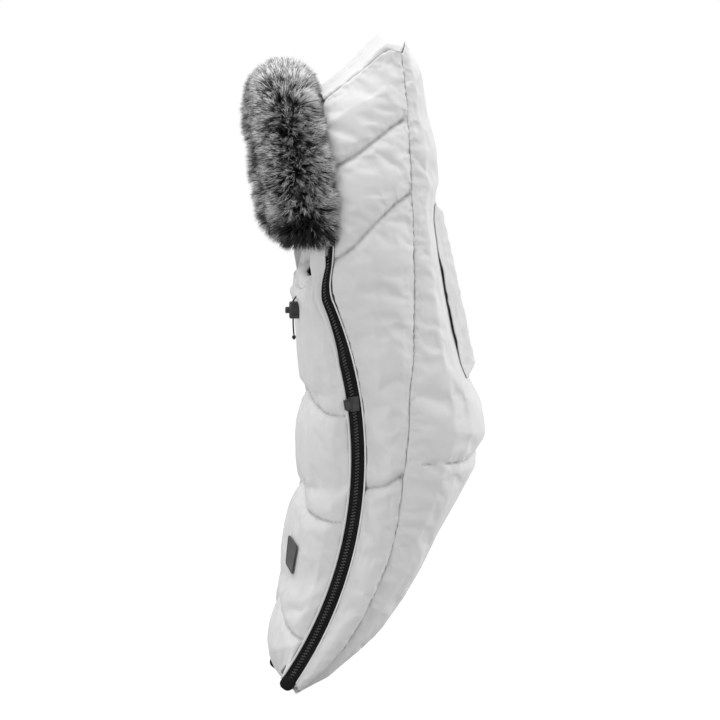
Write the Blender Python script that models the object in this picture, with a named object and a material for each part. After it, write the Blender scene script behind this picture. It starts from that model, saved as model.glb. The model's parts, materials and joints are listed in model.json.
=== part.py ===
"""A winter footmuff for a pushchair seat, built as the separate pieces it is sewn from.

Metres, +Z up, the child faces -Y, +X is the child's left. The origin lies on the flat
rear sleeve, the face that rests against the pushchair's backrest.
"""
import math

import bmesh
import bpy
from mathutils import Matrix, Vector

for old in list(bpy.data.objects):
    bpy.data.objects.remove(old, do_unlink=True)

# Clearances, and how far off the cloth a ray starts that finds its surface
SEAM_GAP = 0.0003
CURVE_GAP = 0.0008
PROBE_REACH = 0.05

# Padding
SHELL_PAD = 0.013
COVER_PAD = 0.011
LINING_PAD = 0.004
SHELL_PUFF = 0.004
COVER_PUFF = 0.007

# Zip: both rows run in a plane that leans in towards the foot
ZIP_LEAN = math.radians(4.9)
ZIP_CENTRE = Vector((0.138, -0.6906, -0.211))
ZIP_RADIUS = 0.543
ZIP_TOP_ANGLE = math.radians(23.5)
ZIP_FOOT_ANGLE = math.radians(-34.2)
ZIP_EASE_RADIUS = 0.100
ZIP_EASE_TURN = math.radians(21.0)
ZIP_STRAIGHT = 0.042
TAPE_WIDTH = 0.020
TAPE_THICK = 0.0010
CHAIN_WIDTH = 0.0090
TOOTH_GAP = 0.0018
TOOTH_PITCH = 0.0070
TOOTH_THICK = 0.0024
BEAD_WIDTH = 0.0010
TEETH_PER_LINK = 4
STOP_LENGTH = 0.004
FOOT_STOP_LENGTH = 0.008
FOOT_STOP_WIDTH = 0.016
FOOT_STOP_THICK = 0.006
FOOT_STOP_LIFT = 0.0022

# Sliders
SLIDER_ANGLE = math.radians(8.4)
SLIDER_LENGTH = 0.020
SLIDER_WIDTH = 0.0148
SLIDER_NARROW = 0.0128
SLIDER_PLATE = 0.0016
CHANNEL_HEIGHT = 0.0032
SLIDER_POST = 0.0010
PULL_WIDTH = 0.0090
PULL_LENGTH = 0.0160
PULL_THICK = 0.0016
PULL_CHAMFER = 0.0030
LUG_LENGTH = 0.0022
LUG_HALF = 0.0012
LUG_SINK = 0.0004
PULL_AXIS_ACROSS = SLIDER_WIDTH / 2 - 2 * LUG_HALF
PULL_LIFT = CHANNEL_HEIGHT / 2 + SLIDER_PLATE + 0.0016

# Cover
COVER_TOP_AT_ZIP = 0.068
SPLIT_ABOVE_SLIDER = 0.0025
COVER_ROUND = 2.3
UPPER_ROWS = 10
LOWER_ROWS = 13
ACROSS = 10

# Shell
HOOD_ROUND = 2.6
BACK_ROUND = 4.0
BACK_SPLIT_ROW = 12
SHELL_ROWS = 20
SIDE_COLUMNS = 5
SIDE_BULGE = 0.010
INNER_SHARE = 0.7

# Rear sleeve
SLEEVE_LEAN = math.radians(12.1)
SLEEVE_HALF_WIDTH = 0.135
SLEEVE_FLAT_HALF = 0.095
SLEEVE_CORNER_RADIUS = 0.060
SLEEVE_ABOVE = 0.143
SLEEVE_BELOW = 0.098
SLEEVE_THICK = 0.0025
SLEEVE_HEM = 0.012
SLEEVE_MOUTH = 0.005

# Collar, drawstring and cord lock
CASING_HEIGHT = 0.016
CASING_THICK = 0.010
CORD_RADIUS = 0.0011
LOCK_WIDTH = 0.012
LOCK_DEPTH = 0.017
LOCK_HEIGHT = 0.024
LOCK_X = 0.030
LOCK_DROP = 0.016
BUTTON_RADIUS = 0.0045
BUTTON_LENGTH = 0.0145
BUTTON_PROUD = 0.0055
BUTTON_TRAVEL = 0.0035
CORD_TAIL = 0.022
KNOT_RADIUS = 0.0027
KNOT_LENGTH = 0.006
LOCK_BACK_WALL = 0.0015
CUT_PAST = 0.006

# Fur trim
FUR_DEPTH = 0.086
FUR_HEIGHT = 0.080
FUR_FOOT = 0.086
FUR_END_TAPER = 0.014

# Badge
BADGE_WIDTH = 0.042
BADGE_HEIGHT = 0.043
BADGE_THICK = 0.0018
BADGE_X = 0.066
BADGE_Z = -0.345


class Rail:
    """A smooth line through a few points, read by the share of its length."""

    def __init__(self, points, steps=12):
        points = [Vector(p) for p in points]
        ends = [points[0] * 2 - points[1]] + points + [points[-1] * 2 - points[-2]]
        self.line = []
        for a, b, c, d in zip(ends, ends[1:], ends[2:], ends[3:]):
            for k in range(steps):
                t = k / steps
                self.line.append(0.5 * ((2 * b) + (c - a) * t + (2 * a - 5 * b + 4 * c - d) * t ** 2
                                        + (3 * b - a - 3 * c + d) * t ** 3))
        self.line.append(points[-1])
        self.marks = [0.0]
        for a, b in zip(self.line, self.line[1:]):
            self.marks.append(self.marks[-1] + (b - a).length)

    def at(self, share):
        want = min(max(share, 0.0), 1.0) * self.marks[-1]
        for i in range(1, len(self.marks)):
            if self.marks[i] >= want:
                step = self.marks[i] - self.marks[i - 1]
                return self.line[i - 1].lerp(self.line[i], (want - self.marks[i - 1]) / step)
        return self.line[-1].copy()

    def share_at_height(self, height):
        for i in range(1, len(self.line)):
            high, low = self.line[i - 1].z, self.line[i].z
            if high >= height >= low and high > low:
                part = (high - height) / (high - low)
                mark = self.marks[i - 1] + part * (self.marks[i] - self.marks[i - 1])
                return mark / self.marks[-1]
        return 0.0 if height > self.line[0].z else 1.0

    def nearest(self, point):
        best = None
        for a, b in zip(self.line, self.line[1:]):
            way = b - a
            part = min(max((point - a).dot(way) / way.length_squared, 0.0), 1.0)
            spot = a + way * part
            if best is None or (spot - point).length < (best - point).length:
                best = spot
        return best


def yz(*pairs):
    return [(0.0, y, z) for y, z in pairs]


# Lines of the pattern on the middle plane, top to foot
FRONT_LINE = Rail(yz((-0.2106, 0.0166), (-0.2092, -0.055), (-0.2092, -0.120), (-0.212, -0.186),
                     (-0.215, -0.248), (-0.2286, -0.317), (-0.2437, -0.406), (-0.2506, -0.469),
                     (-0.2479, -0.508), (-0.2300, -0.534)))
BACK_LINE = Rail(yz((-0.0783, 0.3600), (-0.0672, 0.337), (-0.0576, 0.287), (-0.0465, 0.232),
                    (-0.0383, 0.179), (-0.0395, 0.155), (-0.0405, 0.131), (-0.0350, 0.083),
                    (-0.0275, 0.040), (-0.0188, -0.006), (-0.0070, -0.057), (0.0065, -0.095),
                    (0.0225, -0.127),
                    (0.0280, -0.173), (0.0169, -0.218), (-0.0024, -0.254), (-0.0231, -0.283),
                    (-0.0424, -0.320), (-0.0645, -0.364), (-0.0921, -0.409), (-0.1252, -0.453),
                    (-0.1666, -0.495), (-0.2011, -0.519), (-0.2292, -0.5343)))
CROWN_LINE = Rail(yz((-0.198, 0.288), (-0.1798, 0.2936), (-0.1467, 0.3184), (-0.1122, 0.346),
                     (-0.0915, 0.3590), (-0.0783, 0.3600)))
SPINE = Rail(yz((-0.117, 0.228), (-0.120, 0.069), (-0.106, -0.041), (-0.099, -0.138),
                (-0.106, -0.207), (-0.127, -0.276), (-0.150, -0.359), (-0.182, -0.442),
                (-0.208, -0.483)))

# Lines of the pattern on the child's left, top to foot
SIDE_SEAM = Rail([(0.125, -0.0866, 0.3385), (0.140, -0.0799, 0.272), (0.155, -0.0759, 0.176),
                  (0.163, -0.0726, 0.080), (0.168, -0.0731, -0.030), (0.170, -0.0748, -0.085),
                  (0.170, -0.0803, -0.126), (0.170, -0.0803, -0.181), (0.165, -0.088, -0.237),
                  (0.160, -0.0902, -0.265), (0.143, -0.1064, -0.349), (0.122, -0.1594, -0.461),
                  (0.095, -0.2230, -0.529)])
TOP_SEAM = Rail([(0.118, -0.1936, 0.2774), (0.121, -0.159, 0.305), (0.124, -0.118, 0.3315),
                 (0.125, -0.0866, 0.3385)])
RIM_POINTS = [(0.118, -0.1936, 0.2774), (0.141, -0.195, 0.235), (0.155, -0.193, 0.166)]

ZIP_UP = Vector((math.sin(ZIP_LEAN), 0.0, math.cos(ZIP_LEAN)))
ZIP_OUT = Vector((math.cos(ZIP_LEAN), 0.0, -math.sin(ZIP_LEAN)))
ZIP_ARC_LENGTH = ZIP_RADIUS * (ZIP_TOP_ANGLE - ZIP_FOOT_ANGLE)
ZIP_ABOVE = ZIP_EASE_RADIUS * ZIP_EASE_TURN + ZIP_STRAIGHT


def zip_frame(run):
    """Middle of the zip and its three directions, run metres below the arc's top end."""
    turn = ZIP_TOP_ANGLE - max(run, 0.0) / ZIP_RADIUS
    across = Vector((0.0, math.cos(turn), 0.0)) + ZIP_UP * math.sin(turn)
    spot = ZIP_CENTRE + across * ZIP_RADIUS
    if run < 0.0:
        ease = min(-run / ZIP_EASE_RADIUS, ZIP_EASE_TURN)
        spot = spot + across * ZIP_EASE_RADIUS
        across = Vector((0.0, math.cos(turn - ease), 0.0)) + ZIP_UP * math.sin(turn - ease)
        spot = spot - across * ZIP_EASE_RADIUS
        climb = ZIP_OUT.cross(across)
        spot = spot + climb * max(0.0, -run - ZIP_EASE_RADIUS * ease)
    return spot, across, ZIP_OUT.cross(across)


def zip_point(run, across, lift):
    spot, side, _ = zip_frame(run)
    return spot + side * across + ZIP_OUT * lift


def zip_run_at_height(height):
    low, high = -ZIP_ABOVE, ZIP_ARC_LENGTH
    for _ in range(50):
        middle = (low + high) / 2
        if zip_point(middle, 0.0, 0.0).z > height:
            low = middle
        else:
            high = middle
    return low


SLIDER_RUN = ZIP_RADIUS * (ZIP_TOP_ANGLE - SLIDER_ANGLE)
SPLIT_RUN = SLIDER_RUN - SLIDER_LENGTH / 2 - SPLIT_ABOVE_SLIDER
SPLIT_Z = zip_point(SPLIT_RUN, -TAPE_WIDTH / 2, 0.0).z
COVER_TOP_RUN = zip_run_at_height(COVER_TOP_AT_ZIP)
PANEL_EDGE = TAPE_WIDTH / 2 + CURVE_GAP

zip_edge = [zip_point(-ZIP_ABOVE + k * 0.025, PANEL_EDGE, 0.0)
            for k in range(int((ZIP_ABOVE + ZIP_ARC_LENGTH) / 0.025) + 1)]
zip_edge.append(zip_point(ZIP_ARC_LENGTH, PANEL_EDGE, 0.0))
FRONT_EDGE = Rail(RIM_POINTS + zip_edge, 4)


def flip(point):
    return Vector((-point.x, point.y, point.z))


def material(name, colour, roughness, metallic=0.0):
    finish = bpy.data.materials.new(name)
    finish.use_nodes = True
    shader = finish.node_tree.nodes["Principled BSDF"]
    shader.inputs["Base Color"].default_value = (*colour, 1.0)
    shader.inputs["Roughness"].default_value = roughness
    shader.inputs["Metallic"].default_value = metallic
    return finish


SHELL_CLOTH = material("shell_cloth", (0.62, 0.63, 0.64), 0.55)
FLEECE = material("fleece", (0.28, 0.29, 0.30), 0.95)
BLACK_TAPE = material("black_tape", (0.014, 0.014, 0.016), 0.8)
BLACK_RESIN = material("black_resin", (0.03, 0.03, 0.032), 0.4)
BLACK_CORD = material("black_cord", (0.012, 0.012, 0.012), 0.75)
GREY_RUBBER = material("grey_rubber", (0.045, 0.045, 0.048), 0.6)
SPRING_STEEL = material("spring_steel", (0.55, 0.55, 0.55), 0.3, 1.0)
FUR = material("fur", (0.09, 0.09, 0.095), 0.9)


def add_object(name, mesh, finish, origin=None):
    """Put a mesh in the scene, its object origin on the point that it turns or slides about."""
    mesh.materials.append(finish)
    thing = bpy.data.objects.new(name, mesh)
    bpy.context.collection.objects.link(thing)
    if origin is not None:
        mesh.transform(Matrix.Translation(-origin))
        thing.location = origin
    return thing


def mesh_of(name, points, faces):
    work = bmesh.new()
    corners = [work.verts.new(p) for p in points]
    for face in faces:
        work.faces.new([corners[i] for i in face])
    bmesh.ops.recalc_face_normals(work, faces=work.faces)
    if work.calc_volume(signed=True) < 0:
        bmesh.ops.reverse_faces(work, faces=work.faces)
    mesh = bpy.data.meshes.new(name)
    work.to_mesh(mesh)
    work.free()
    return mesh


def loft(name, rings, finish, origin=None, smooth=False):
    """A closed solid through like rings of points, with flat ends."""
    count = len(rings[0])
    points = [p for ring in rings for p in ring]
    faces = []
    for r in range(len(rings) - 1):
        for c in range(count):
            d = (c + 1) % count
            faces.append((r * count + c, r * count + d, (r + 1) * count + d, (r + 1) * count + c))
    faces.append(tuple(range(count)))
    faces.append(tuple((len(rings) - 1) * count + c for c in range(count)))
    mesh = mesh_of(name, points, faces)
    if smooth:
        mesh.shade_smooth()
    return add_object(name, mesh, finish, origin)


def trimmed(grid):
    """The grid with its outline drawn in by half a seam gap, so that neighbours stay apart."""
    def nearer(a, b):
        return a + (b - a).normalized() * SEAM_GAP / 2
    rows = [list(row) for row in grid]
    for row in rows:
        row[0] = nearer(row[0], row[1])
        row[-1] = nearer(row[-1], row[-2])
    rows[0] = [nearer(a, b) for a, b in zip(rows[0], rows[1])]
    rows[-1] = [nearer(a, b) for a, b in zip(rows[-1], rows[-2])]
    return rows


def slab(name, grid, inward, outer, inner, finish, puff=None, origin=None):
    """A sewn panel: the grid's surface given a thickness along its inward directions."""
    grid = trimmed(grid)
    rows, columns = len(grid), len(grid[0])
    points = []
    for depth, swell in ((outer, puff), (inner, None)):
        for r in range(rows):
            for c in range(columns):
                lift = swell(r / (rows - 1), c / (columns - 1)) if swell else 0.0
                points.append(grid[r][c] + inward[r][c] * (depth - lift))
    skin = rows * columns
    faces = []
    for r in range(rows - 1):
        for c in range(columns - 1):
            a, b = r * columns + c, r * columns + c + 1
            for layer in (0, skin):
                faces.append((a + layer, b + layer, b + columns + layer))
                faces.append((a + layer, b + columns + layer, a + columns + layer))
    outline = list(range(columns))
    outline += [r * columns + columns - 1 for r in range(1, rows)]
    outline += [(rows - 1) * columns + c for c in range(columns - 2, -1, -1)]
    outline += [r * columns for r in range(rows - 2, 0, -1)]
    for a, b in zip(outline, outline[1:] + outline[:1]):
        if (points[a].z, abs(points[a].x)) < (points[b].z, abs(points[b].x)):
            a, b = b, a
        faces.append((a, b, b + skin))
        faces.append((a, b + skin, a + skin))
    mesh = mesh_of(name, points, faces)
    mesh.shade_smooth()
    mesh.set_sharp_from_angle(angle=math.radians(50))
    return add_object(name, mesh, finish, origin)


def pillow(share, seams, power=0.6):
    """Swelling of wadding between two rows of stitching, 0 on a row and 1 between them."""
    for a, b in zip(seams, seams[1:]):
        if a <= share <= b:
            return max(0.0, math.sin(math.pi * (share - a) / (b - a))) ** power
    return 0.0


def edge_fade(share):
    return 1.0 - abs(2 * share - 1.0) ** 5


def round_row(side, middle, roundness, count):
    """Points from the left edge over the middle line to the right edge, on a superellipse."""
    row = []
    for k in range(count + 1):
        angle = math.pi / 2 - math.pi * k / count
        wide = abs(math.sin(angle)) ** (2 / roundness)
        deep = abs(math.cos(angle)) ** (2 / roundness)
        point = side.lerp(Vector((side.x, middle.y, middle.z)), deep)
        point.x = side.x * wide * (1 if angle >= 0 else -1)
        row.append(point)
    return row


# Shell panels
def shell_inward(point):
    spot = SPINE.nearest(Vector((0.0, point.y, point.z)))
    return (Vector((point.x * INNER_SHARE, spot.y, spot.z)) - point).normalized()


def side_row(share):
    front, back = FRONT_EDGE.at(share), SIDE_SEAM.at(share)
    fade = max(0.0, 1.0 - share / 0.25) ** 2
    row = []
    for k in range(SIDE_COLUMNS + 1):
        u = k / SIDE_COLUMNS
        point = front.lerp(back, u)
        straight = TOP_SEAM.at(0.0).lerp(TOP_SEAM.at(1.0), u)
        point += (TOP_SEAM.at(u) - straight) * fade
        point.x += SIDE_BULGE * math.sin(math.pi * u) * (1.0 - fade)
        row.append(point)
    return row


def back_row(share):
    return round_row(SIDE_SEAM.at(share), BACK_LINE.at(share), BACK_ROUND, ACROSS)


shell_shares = [r / SHELL_ROWS for r in range(SHELL_ROWS + 1)]
left_side = [side_row(s) for s in shell_shares]
right_side = [[flip(p) for p in reversed(row)] for row in left_side]
back = [back_row(s) for s in shell_shares]
upper_back, foot_back = back[:BACK_SPLIT_ROW + 1], back[BACK_SPLIT_ROW:]
crown = [round_row(TOP_SEAM.at(k / SIDE_COLUMNS), CROWN_LINE.at(k / SIDE_COLUMNS), HOOD_ROUND, ACROSS)
         for k in range(SIDE_COLUMNS + 1)]
whole_shell = [l[:-1] + b + r[1:] for l, b, r in zip(left_side, back, right_side)]


def inward_of(grid):
    return [[shell_inward(p) for p in row] for row in grid]


SIDE_SEAMS = (0.0, 0.13, 0.23, 0.60, 1.0)
BACK_SEAMS = (0.0, 0.10, 0.22)
BACK_SPLIT_SHARE = BACK_SPLIT_ROW / SHELL_ROWS
LOW_BACK_SEAMS = (0.50, BACK_SPLIT_SHARE, 1.0)


def side_puff(v, u):
    return SHELL_PUFF * pillow(v, SIDE_SEAMS) * edge_fade(u)


def back_puff(v, u):
    seams = BACK_SEAMS if v < BACK_SEAMS[-1] else LOW_BACK_SEAMS
    return SHELL_PUFF * pillow(v, seams) * edge_fade(u)


def crown_puff(v, u):
    return SHELL_PUFF * math.sin(math.pi * v) * edge_fade(u)


slab("side_panel_left", left_side, inward_of(left_side), 0.0, SHELL_PAD, SHELL_CLOTH, side_puff)
slab("side_panel_right", right_side, inward_of(right_side), 0.0, SHELL_PAD, SHELL_CLOTH, side_puff)
slab("back_panel", upper_back, inward_of(upper_back), 0.0, SHELL_PAD, SHELL_CLOTH,
     lambda v, u: back_puff(v * BACK_SPLIT_SHARE, u))
slab("foot_back_panel", foot_back, inward_of(foot_back), 0.0, SHELL_PAD, SHELL_CLOTH,
     lambda v, u: back_puff(BACK_SPLIT_SHARE + v * (1.0 - BACK_SPLIT_SHARE), u))
slab("hood_top_panel", crown, inward_of(crown), 0.0, SHELL_PAD, SHELL_CLOTH, crown_puff)
LINING_FROM = SHELL_PAD + SEAM_GAP
LINING_TO = LINING_FROM + LINING_PAD
slab("shell_lining", whole_shell, inward_of(whole_shell), LINING_FROM, LINING_TO, FLEECE)
slab("hood_lining", crown, inward_of(crown), LINING_FROM, LINING_TO, FLEECE)


# Cover panels
def cover_inward(row, along, lift_up):
    """Inward directions of one cover row: square to the front line, tucked in at the zips."""
    square = Vector((0.0, -along.z, along.y)).normalized()
    if square.y < 0:
        square = -square
    square = square.lerp(Vector((0.0, 0.0, 1.0)), lift_up).normalized()
    directions = []
    for k, point in enumerate(row):
        tuck = abs(math.cos(math.pi * k / (len(row) - 1))) ** 5
        out = ZIP_OUT if point.x > 0 else flip(ZIP_OUT)
        directions.append((square - out * 1.5 * tuck).normalized())
    return directions


def cover_grid(run_from, run_to, share_from, share_to, rows, foot=False):
    grid, inward = [], []
    for r in range(rows + 1):
        part = r / rows
        drop = TAPE_THICK * max(0.0, part - 0.8) * 5 if foot else 0.0
        edge = zip_point(run_from + (run_to - run_from) * part, -PANEL_EDGE, -drop)
        share = share_from + (share_to - share_from) * part
        row = round_row(edge, FRONT_LINE.at(share), COVER_ROUND, ACROSS)
        along = FRONT_LINE.at(min(share + 0.01, 1.0)) - FRONT_LINE.at(share - 0.01)
        grid.append(row)
        inward.append(cover_inward(row, along, max(0.0, part - 0.8) * 5 if foot else 0.0))
    return grid, inward


SPLIT_SHARE = FRONT_LINE.share_at_height(SPLIT_Z)
upper_grid, upper_inward = cover_grid(COVER_TOP_RUN, SPLIT_RUN, 0.0, SPLIT_SHARE, UPPER_ROWS)
lower_grid, lower_inward = cover_grid(SPLIT_RUN, ZIP_ARC_LENGTH, SPLIT_SHARE, 1.0, LOWER_ROWS, True)
HINGE = Vector((0.0, FRONT_LINE.at(SPLIT_SHARE).y - 0.003, SPLIT_Z - 0.006))

LOWER_SEAMS = (0.0, 0.31, 0.62, 1.0)


def upper_puff(v, u):
    return COVER_PUFF * pillow(0.12 + 0.88 * v, (0.0, 1.0)) * edge_fade(u)


def lower_puff(v, u):
    return COVER_PUFF * pillow(v, LOWER_SEAMS) * edge_fade(u)


COVER_LINING_FROM = COVER_PAD + SEAM_GAP
COVER_LINING_TO = COVER_LINING_FROM + LINING_PAD
slab("upper_cover", upper_grid, upper_inward, 0.0, COVER_PAD, SHELL_CLOTH, upper_puff, HINGE)
slab("upper_cover_lining", upper_grid, upper_inward, COVER_LINING_FROM, COVER_LINING_TO, FLEECE,
     None, HINGE)
slab("lower_cover", lower_grid, lower_inward, 0.0, COVER_PAD, SHELL_CLOTH, lower_puff)
slab("lower_cover_lining", lower_grid, lower_inward, COVER_LINING_FROM, COVER_LINING_TO, FLEECE)


# Zips
def placed(points, mirrored):
    return [flip(p) for p in points] if mirrored else points


def zip_stations(run_from, run_to):
    """Places along the zip, one to a link on the long arc and one to a tooth above it."""
    spots = [run_from]
    while spots[-1] < run_to:
        step = TOOTH_PITCH if spots[-1] < 0.0 else TOOTH_PITCH * TEETH_PER_LINK
        spots.append(spots[-1] + step)
    spots[-1] = run_to
    return spots


def tape(name, run_from, run_to, side, mirrored, origin=None):
    inner = CHAIN_WIDTH / 2 + SEAM_GAP
    outer = TAPE_WIDTH / 2
    half = TAPE_THICK / 2
    rings = []
    for run in zip_stations(run_from, run_to):
        ring = [zip_point(run, side * inner, half), zip_point(run, side * outer, half),
                zip_point(run, side * outer, -half), zip_point(run, side * inner, -half)]
        rings.append(placed(ring, mirrored))
    loft(name, rings, BLACK_TAPE, origin)


def teeth(name, run_from, run_to, side, mirrored, origin=None):
    """A row of moulded teeth on its bead, like a comb with tapered teeth."""
    phase = 0.0 if side > 0 else TOOTH_PITCH / 2
    tip, back_edge = TOOTH_GAP / 2, CHAIN_WIDTH / 2
    root = back_edge - BEAD_WIDTH
    first = math.ceil((run_from - phase) / TOOTH_PITCH)
    last = math.floor((run_to - phase) / TOOTH_PITCH)
    spots = [phase + k * TOOTH_PITCH for k in range(first, last)]
    half = TOOTH_THICK / 2
    points, faces = [], []

    def pair(run, across):
        points.append(zip_point(run, side * across, half))
        points.append(zip_point(run, side * across, -half))
        return len(points) - 2

    upper = [spot for spot in spots if spot < 0.0]
    lower = [spot for spot in spots if spot >= 0.0]
    links = [[spot] for spot in upper]
    links += [lower[k:k + TEETH_PER_LINK] for k in range(0, len(lower), TEETH_PER_LINK)]
    edge_back = pair(run_from, back_edge)
    edge_root = pair(run_from, root)
    faces.append((edge_back, edge_root, edge_root + 1, edge_back + 1))
    for number, link in enumerate(links):
        end = run_to if number == len(links) - 1 else link[-1] + TOOTH_PITCH
        outline = [edge_root]
        for run in link:
            outline.append(pair(run + TOOTH_PITCH * 0.18, root))
            outline.append(pair(run + TOOTH_PITCH * 0.26, tip))
            outline.append(pair(run + TOOTH_PITCH * 0.66, tip))
            outline.append(pair(run + TOOTH_PITCH * 0.74, root))
        next_root = pair(end, root)
        next_back = pair(end, back_edge)
        outline.append(next_root)
        ring = outline + [next_back, edge_back]
        faces.append(tuple(ring))
        faces.append(tuple(i + 1 for i in reversed(ring)))
        for a, b in zip(outline, outline[1:]):
            faces.append((a, b, b + 1, a + 1))
        faces.append((edge_back, next_back, next_back + 1, edge_back + 1))
        edge_back, edge_root = next_back, next_root
    faces.append((edge_back, edge_root, edge_root + 1, edge_back + 1))
    mesh = mesh_of(name, placed(points, mirrored), faces)
    add_object(name, mesh, BLACK_RESIN, origin)


def slider(name, mirrored):
    """Two shouldered plates with turned-in flanges, joined by the wedge between the rows."""
    floor, roof = CHANNEL_HEIGHT / 2, CHANNEL_HEIGHT / 2 + SLIDER_PLATE
    lip = TAPE_THICK / 2 + SEAM_GAP * 1.5
    wide, narrow = SLIDER_WIDTH / 2, SLIDER_NARROW / 2
    stations = ((-0.50, wide - 0.0010), (-0.40, wide), (-0.10, wide), (0.15, narrow),
                (0.42, narrow), (0.50, narrow - 0.0006))
    post = SLIDER_POST / 2
    rings = []
    for part, half in stations:
        run = SLIDER_RUN + part * SLIDER_LENGTH
        inside = CHAIN_WIDTH / 2 + 2 * SEAM_GAP
        corner = [(half, lip), (half, roof - 0.0005), (half - 0.0006, roof)]
        profile = corner + [(-a, l) for a, l in reversed(corner)]
        profile += [(-inside, lip), (-inside, floor), (-post, floor), (-post, -floor),
                    (-inside, -floor), (-inside, -lip)]
        profile += [(-a, -l) for a, l in corner] + [(a, -l) for a, l in reversed(corner)]
        profile += [(inside, -lip), (inside, -floor), (post, -floor), (post, floor),
                    (inside, floor), (inside, lip)]
        rings.append(placed([zip_point(run, a, l) for a, l in profile], mirrored))
    centre = placed([ZIP_CENTRE], mirrored)[0]
    body = loft(name, rings, BLACK_RESIN, centre)
    for number, side in enumerate((-1, 1)):
        run = SLIDER_RUN + side * (PULL_LENGTH / 2 - LUG_LENGTH / 2)
        lug = []
        for end in (-0.5, 0.5):
            ring = [zip_point(run + end * LUG_LENGTH, a, l) for a, l in
                    ((-PULL_AXIS_ACROSS - LUG_HALF, roof - LUG_SINK),
                     (-PULL_AXIS_ACROSS - LUG_HALF, PULL_LIFT), (-PULL_AXIS_ACROSS, PULL_LIFT + LUG_HALF),
                     (-PULL_AXIS_ACROSS + LUG_HALF, PULL_LIFT),
                     (-PULL_AXIS_ACROSS + LUG_HALF, roof - LUG_SINK))]
            lug.append(placed(ring, mirrored))
        cutter = loft(name + "_lug_" + str(number), lug, BLACK_RESIN, centre)
        cutter.hide_render = True
        cutter.display_type = "WIRE"
        join = body.modifiers.new("lug_" + str(number), "BOOLEAN")
        join.operation = "UNION"
        join.solver = "EXACT"
        join.object = cutter


def pull(name, mirrored):
    """A short tab with a barrel along its edge, chamfered at its lower end."""
    barrel = PULL_THICK / 2
    reach = PULL_AXIS_ACROSS + PULL_WIDTH
    half = (PULL_LENGTH - 2 * LUG_LENGTH) / 2 - SEAM_GAP
    tail = PULL_LENGTH / 2
    neck = PULL_AXIS_ACROSS + 0.0022
    outline = [(-half, PULL_AXIS_ACROSS - barrel), (-half, neck), (-tail, neck), (-tail, reach),
               (tail - PULL_CHAMFER, reach), (tail, reach - PULL_CHAMFER), (tail, neck), (half, neck),
               (half, PULL_AXIS_ACROSS - barrel)]
    rings = []
    for lift in (PULL_LIFT - PULL_THICK / 2, PULL_LIFT + PULL_THICK / 2):
        rings.append(placed([zip_point(SLIDER_RUN + run, -across, lift) for run, across in outline],
                            mirrored))
    axis_spot = placed([zip_point(SLIDER_RUN, -PULL_AXIS_ACROSS, PULL_LIFT)], mirrored)[0]
    loft(name, rings, BLACK_RESIN, axis_spot)


def block(name, run_from, run_to, across_from, across_to, half, lift, finish, mirrored):
    """A small moulded block across the zip, with both its ends thinned."""
    rings = []
    for part in (0.0, 0.12, 0.88, 1.0):
        run = run_from + (run_to - run_from) * part
        slim = 0.7 if part in (0.0, 1.0) else 1.0
        rings.append(placed([zip_point(run, across_from, lift + half * slim),
                             zip_point(run, across_to, lift + half * slim),
                             zip_point(run, across_to, lift - half * slim),
                             zip_point(run, across_from, lift - half * slim)], mirrored))
    loft(name, rings, finish)


for label, mirrored in (("left", False), ("right", True)):
    tape("shell_tape_" + label, -ZIP_ABOVE, ZIP_ARC_LENGTH, 1, mirrored)
    tape("lower_cover_tape_" + label, SPLIT_RUN + SEAM_GAP, ZIP_ARC_LENGTH, -1, mirrored)
    tape("upper_cover_tape_" + label, COVER_TOP_RUN, SPLIT_RUN - SEAM_GAP, -1, mirrored, HINGE)
    chain_top = -ZIP_ABOVE + STOP_LENGTH + SEAM_GAP
    teeth("shell_teeth_" + label, chain_top, ZIP_ARC_LENGTH, 1, mirrored)
    teeth("lower_cover_teeth_" + label, SPLIT_RUN + SEAM_GAP, ZIP_ARC_LENGTH, -1, mirrored)
    teeth("upper_cover_teeth_" + label, COVER_TOP_RUN + STOP_LENGTH + SEAM_GAP,
          SPLIT_RUN - SEAM_GAP, -1, mirrored, HINGE)
    slider("slider_" + label, mirrored)
    pull("pull_" + label, mirrored)

    block("top_stop_" + label, -ZIP_ABOVE, -ZIP_ABOVE + STOP_LENGTH, TOOTH_GAP / 2, CHAIN_WIDTH / 2,
          TOOTH_THICK / 2, 0.0, BLACK_RESIN, mirrored)
    block("bottom_box_" + label, ZIP_ARC_LENGTH + SEAM_GAP, ZIP_ARC_LENGTH + FOOT_STOP_LENGTH,
          -FOOT_STOP_WIDTH / 2, FOOT_STOP_WIDTH / 2, FOOT_STOP_THICK / 2, FOOT_STOP_LIFT, BLACK_TAPE,
          mirrored)


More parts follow.
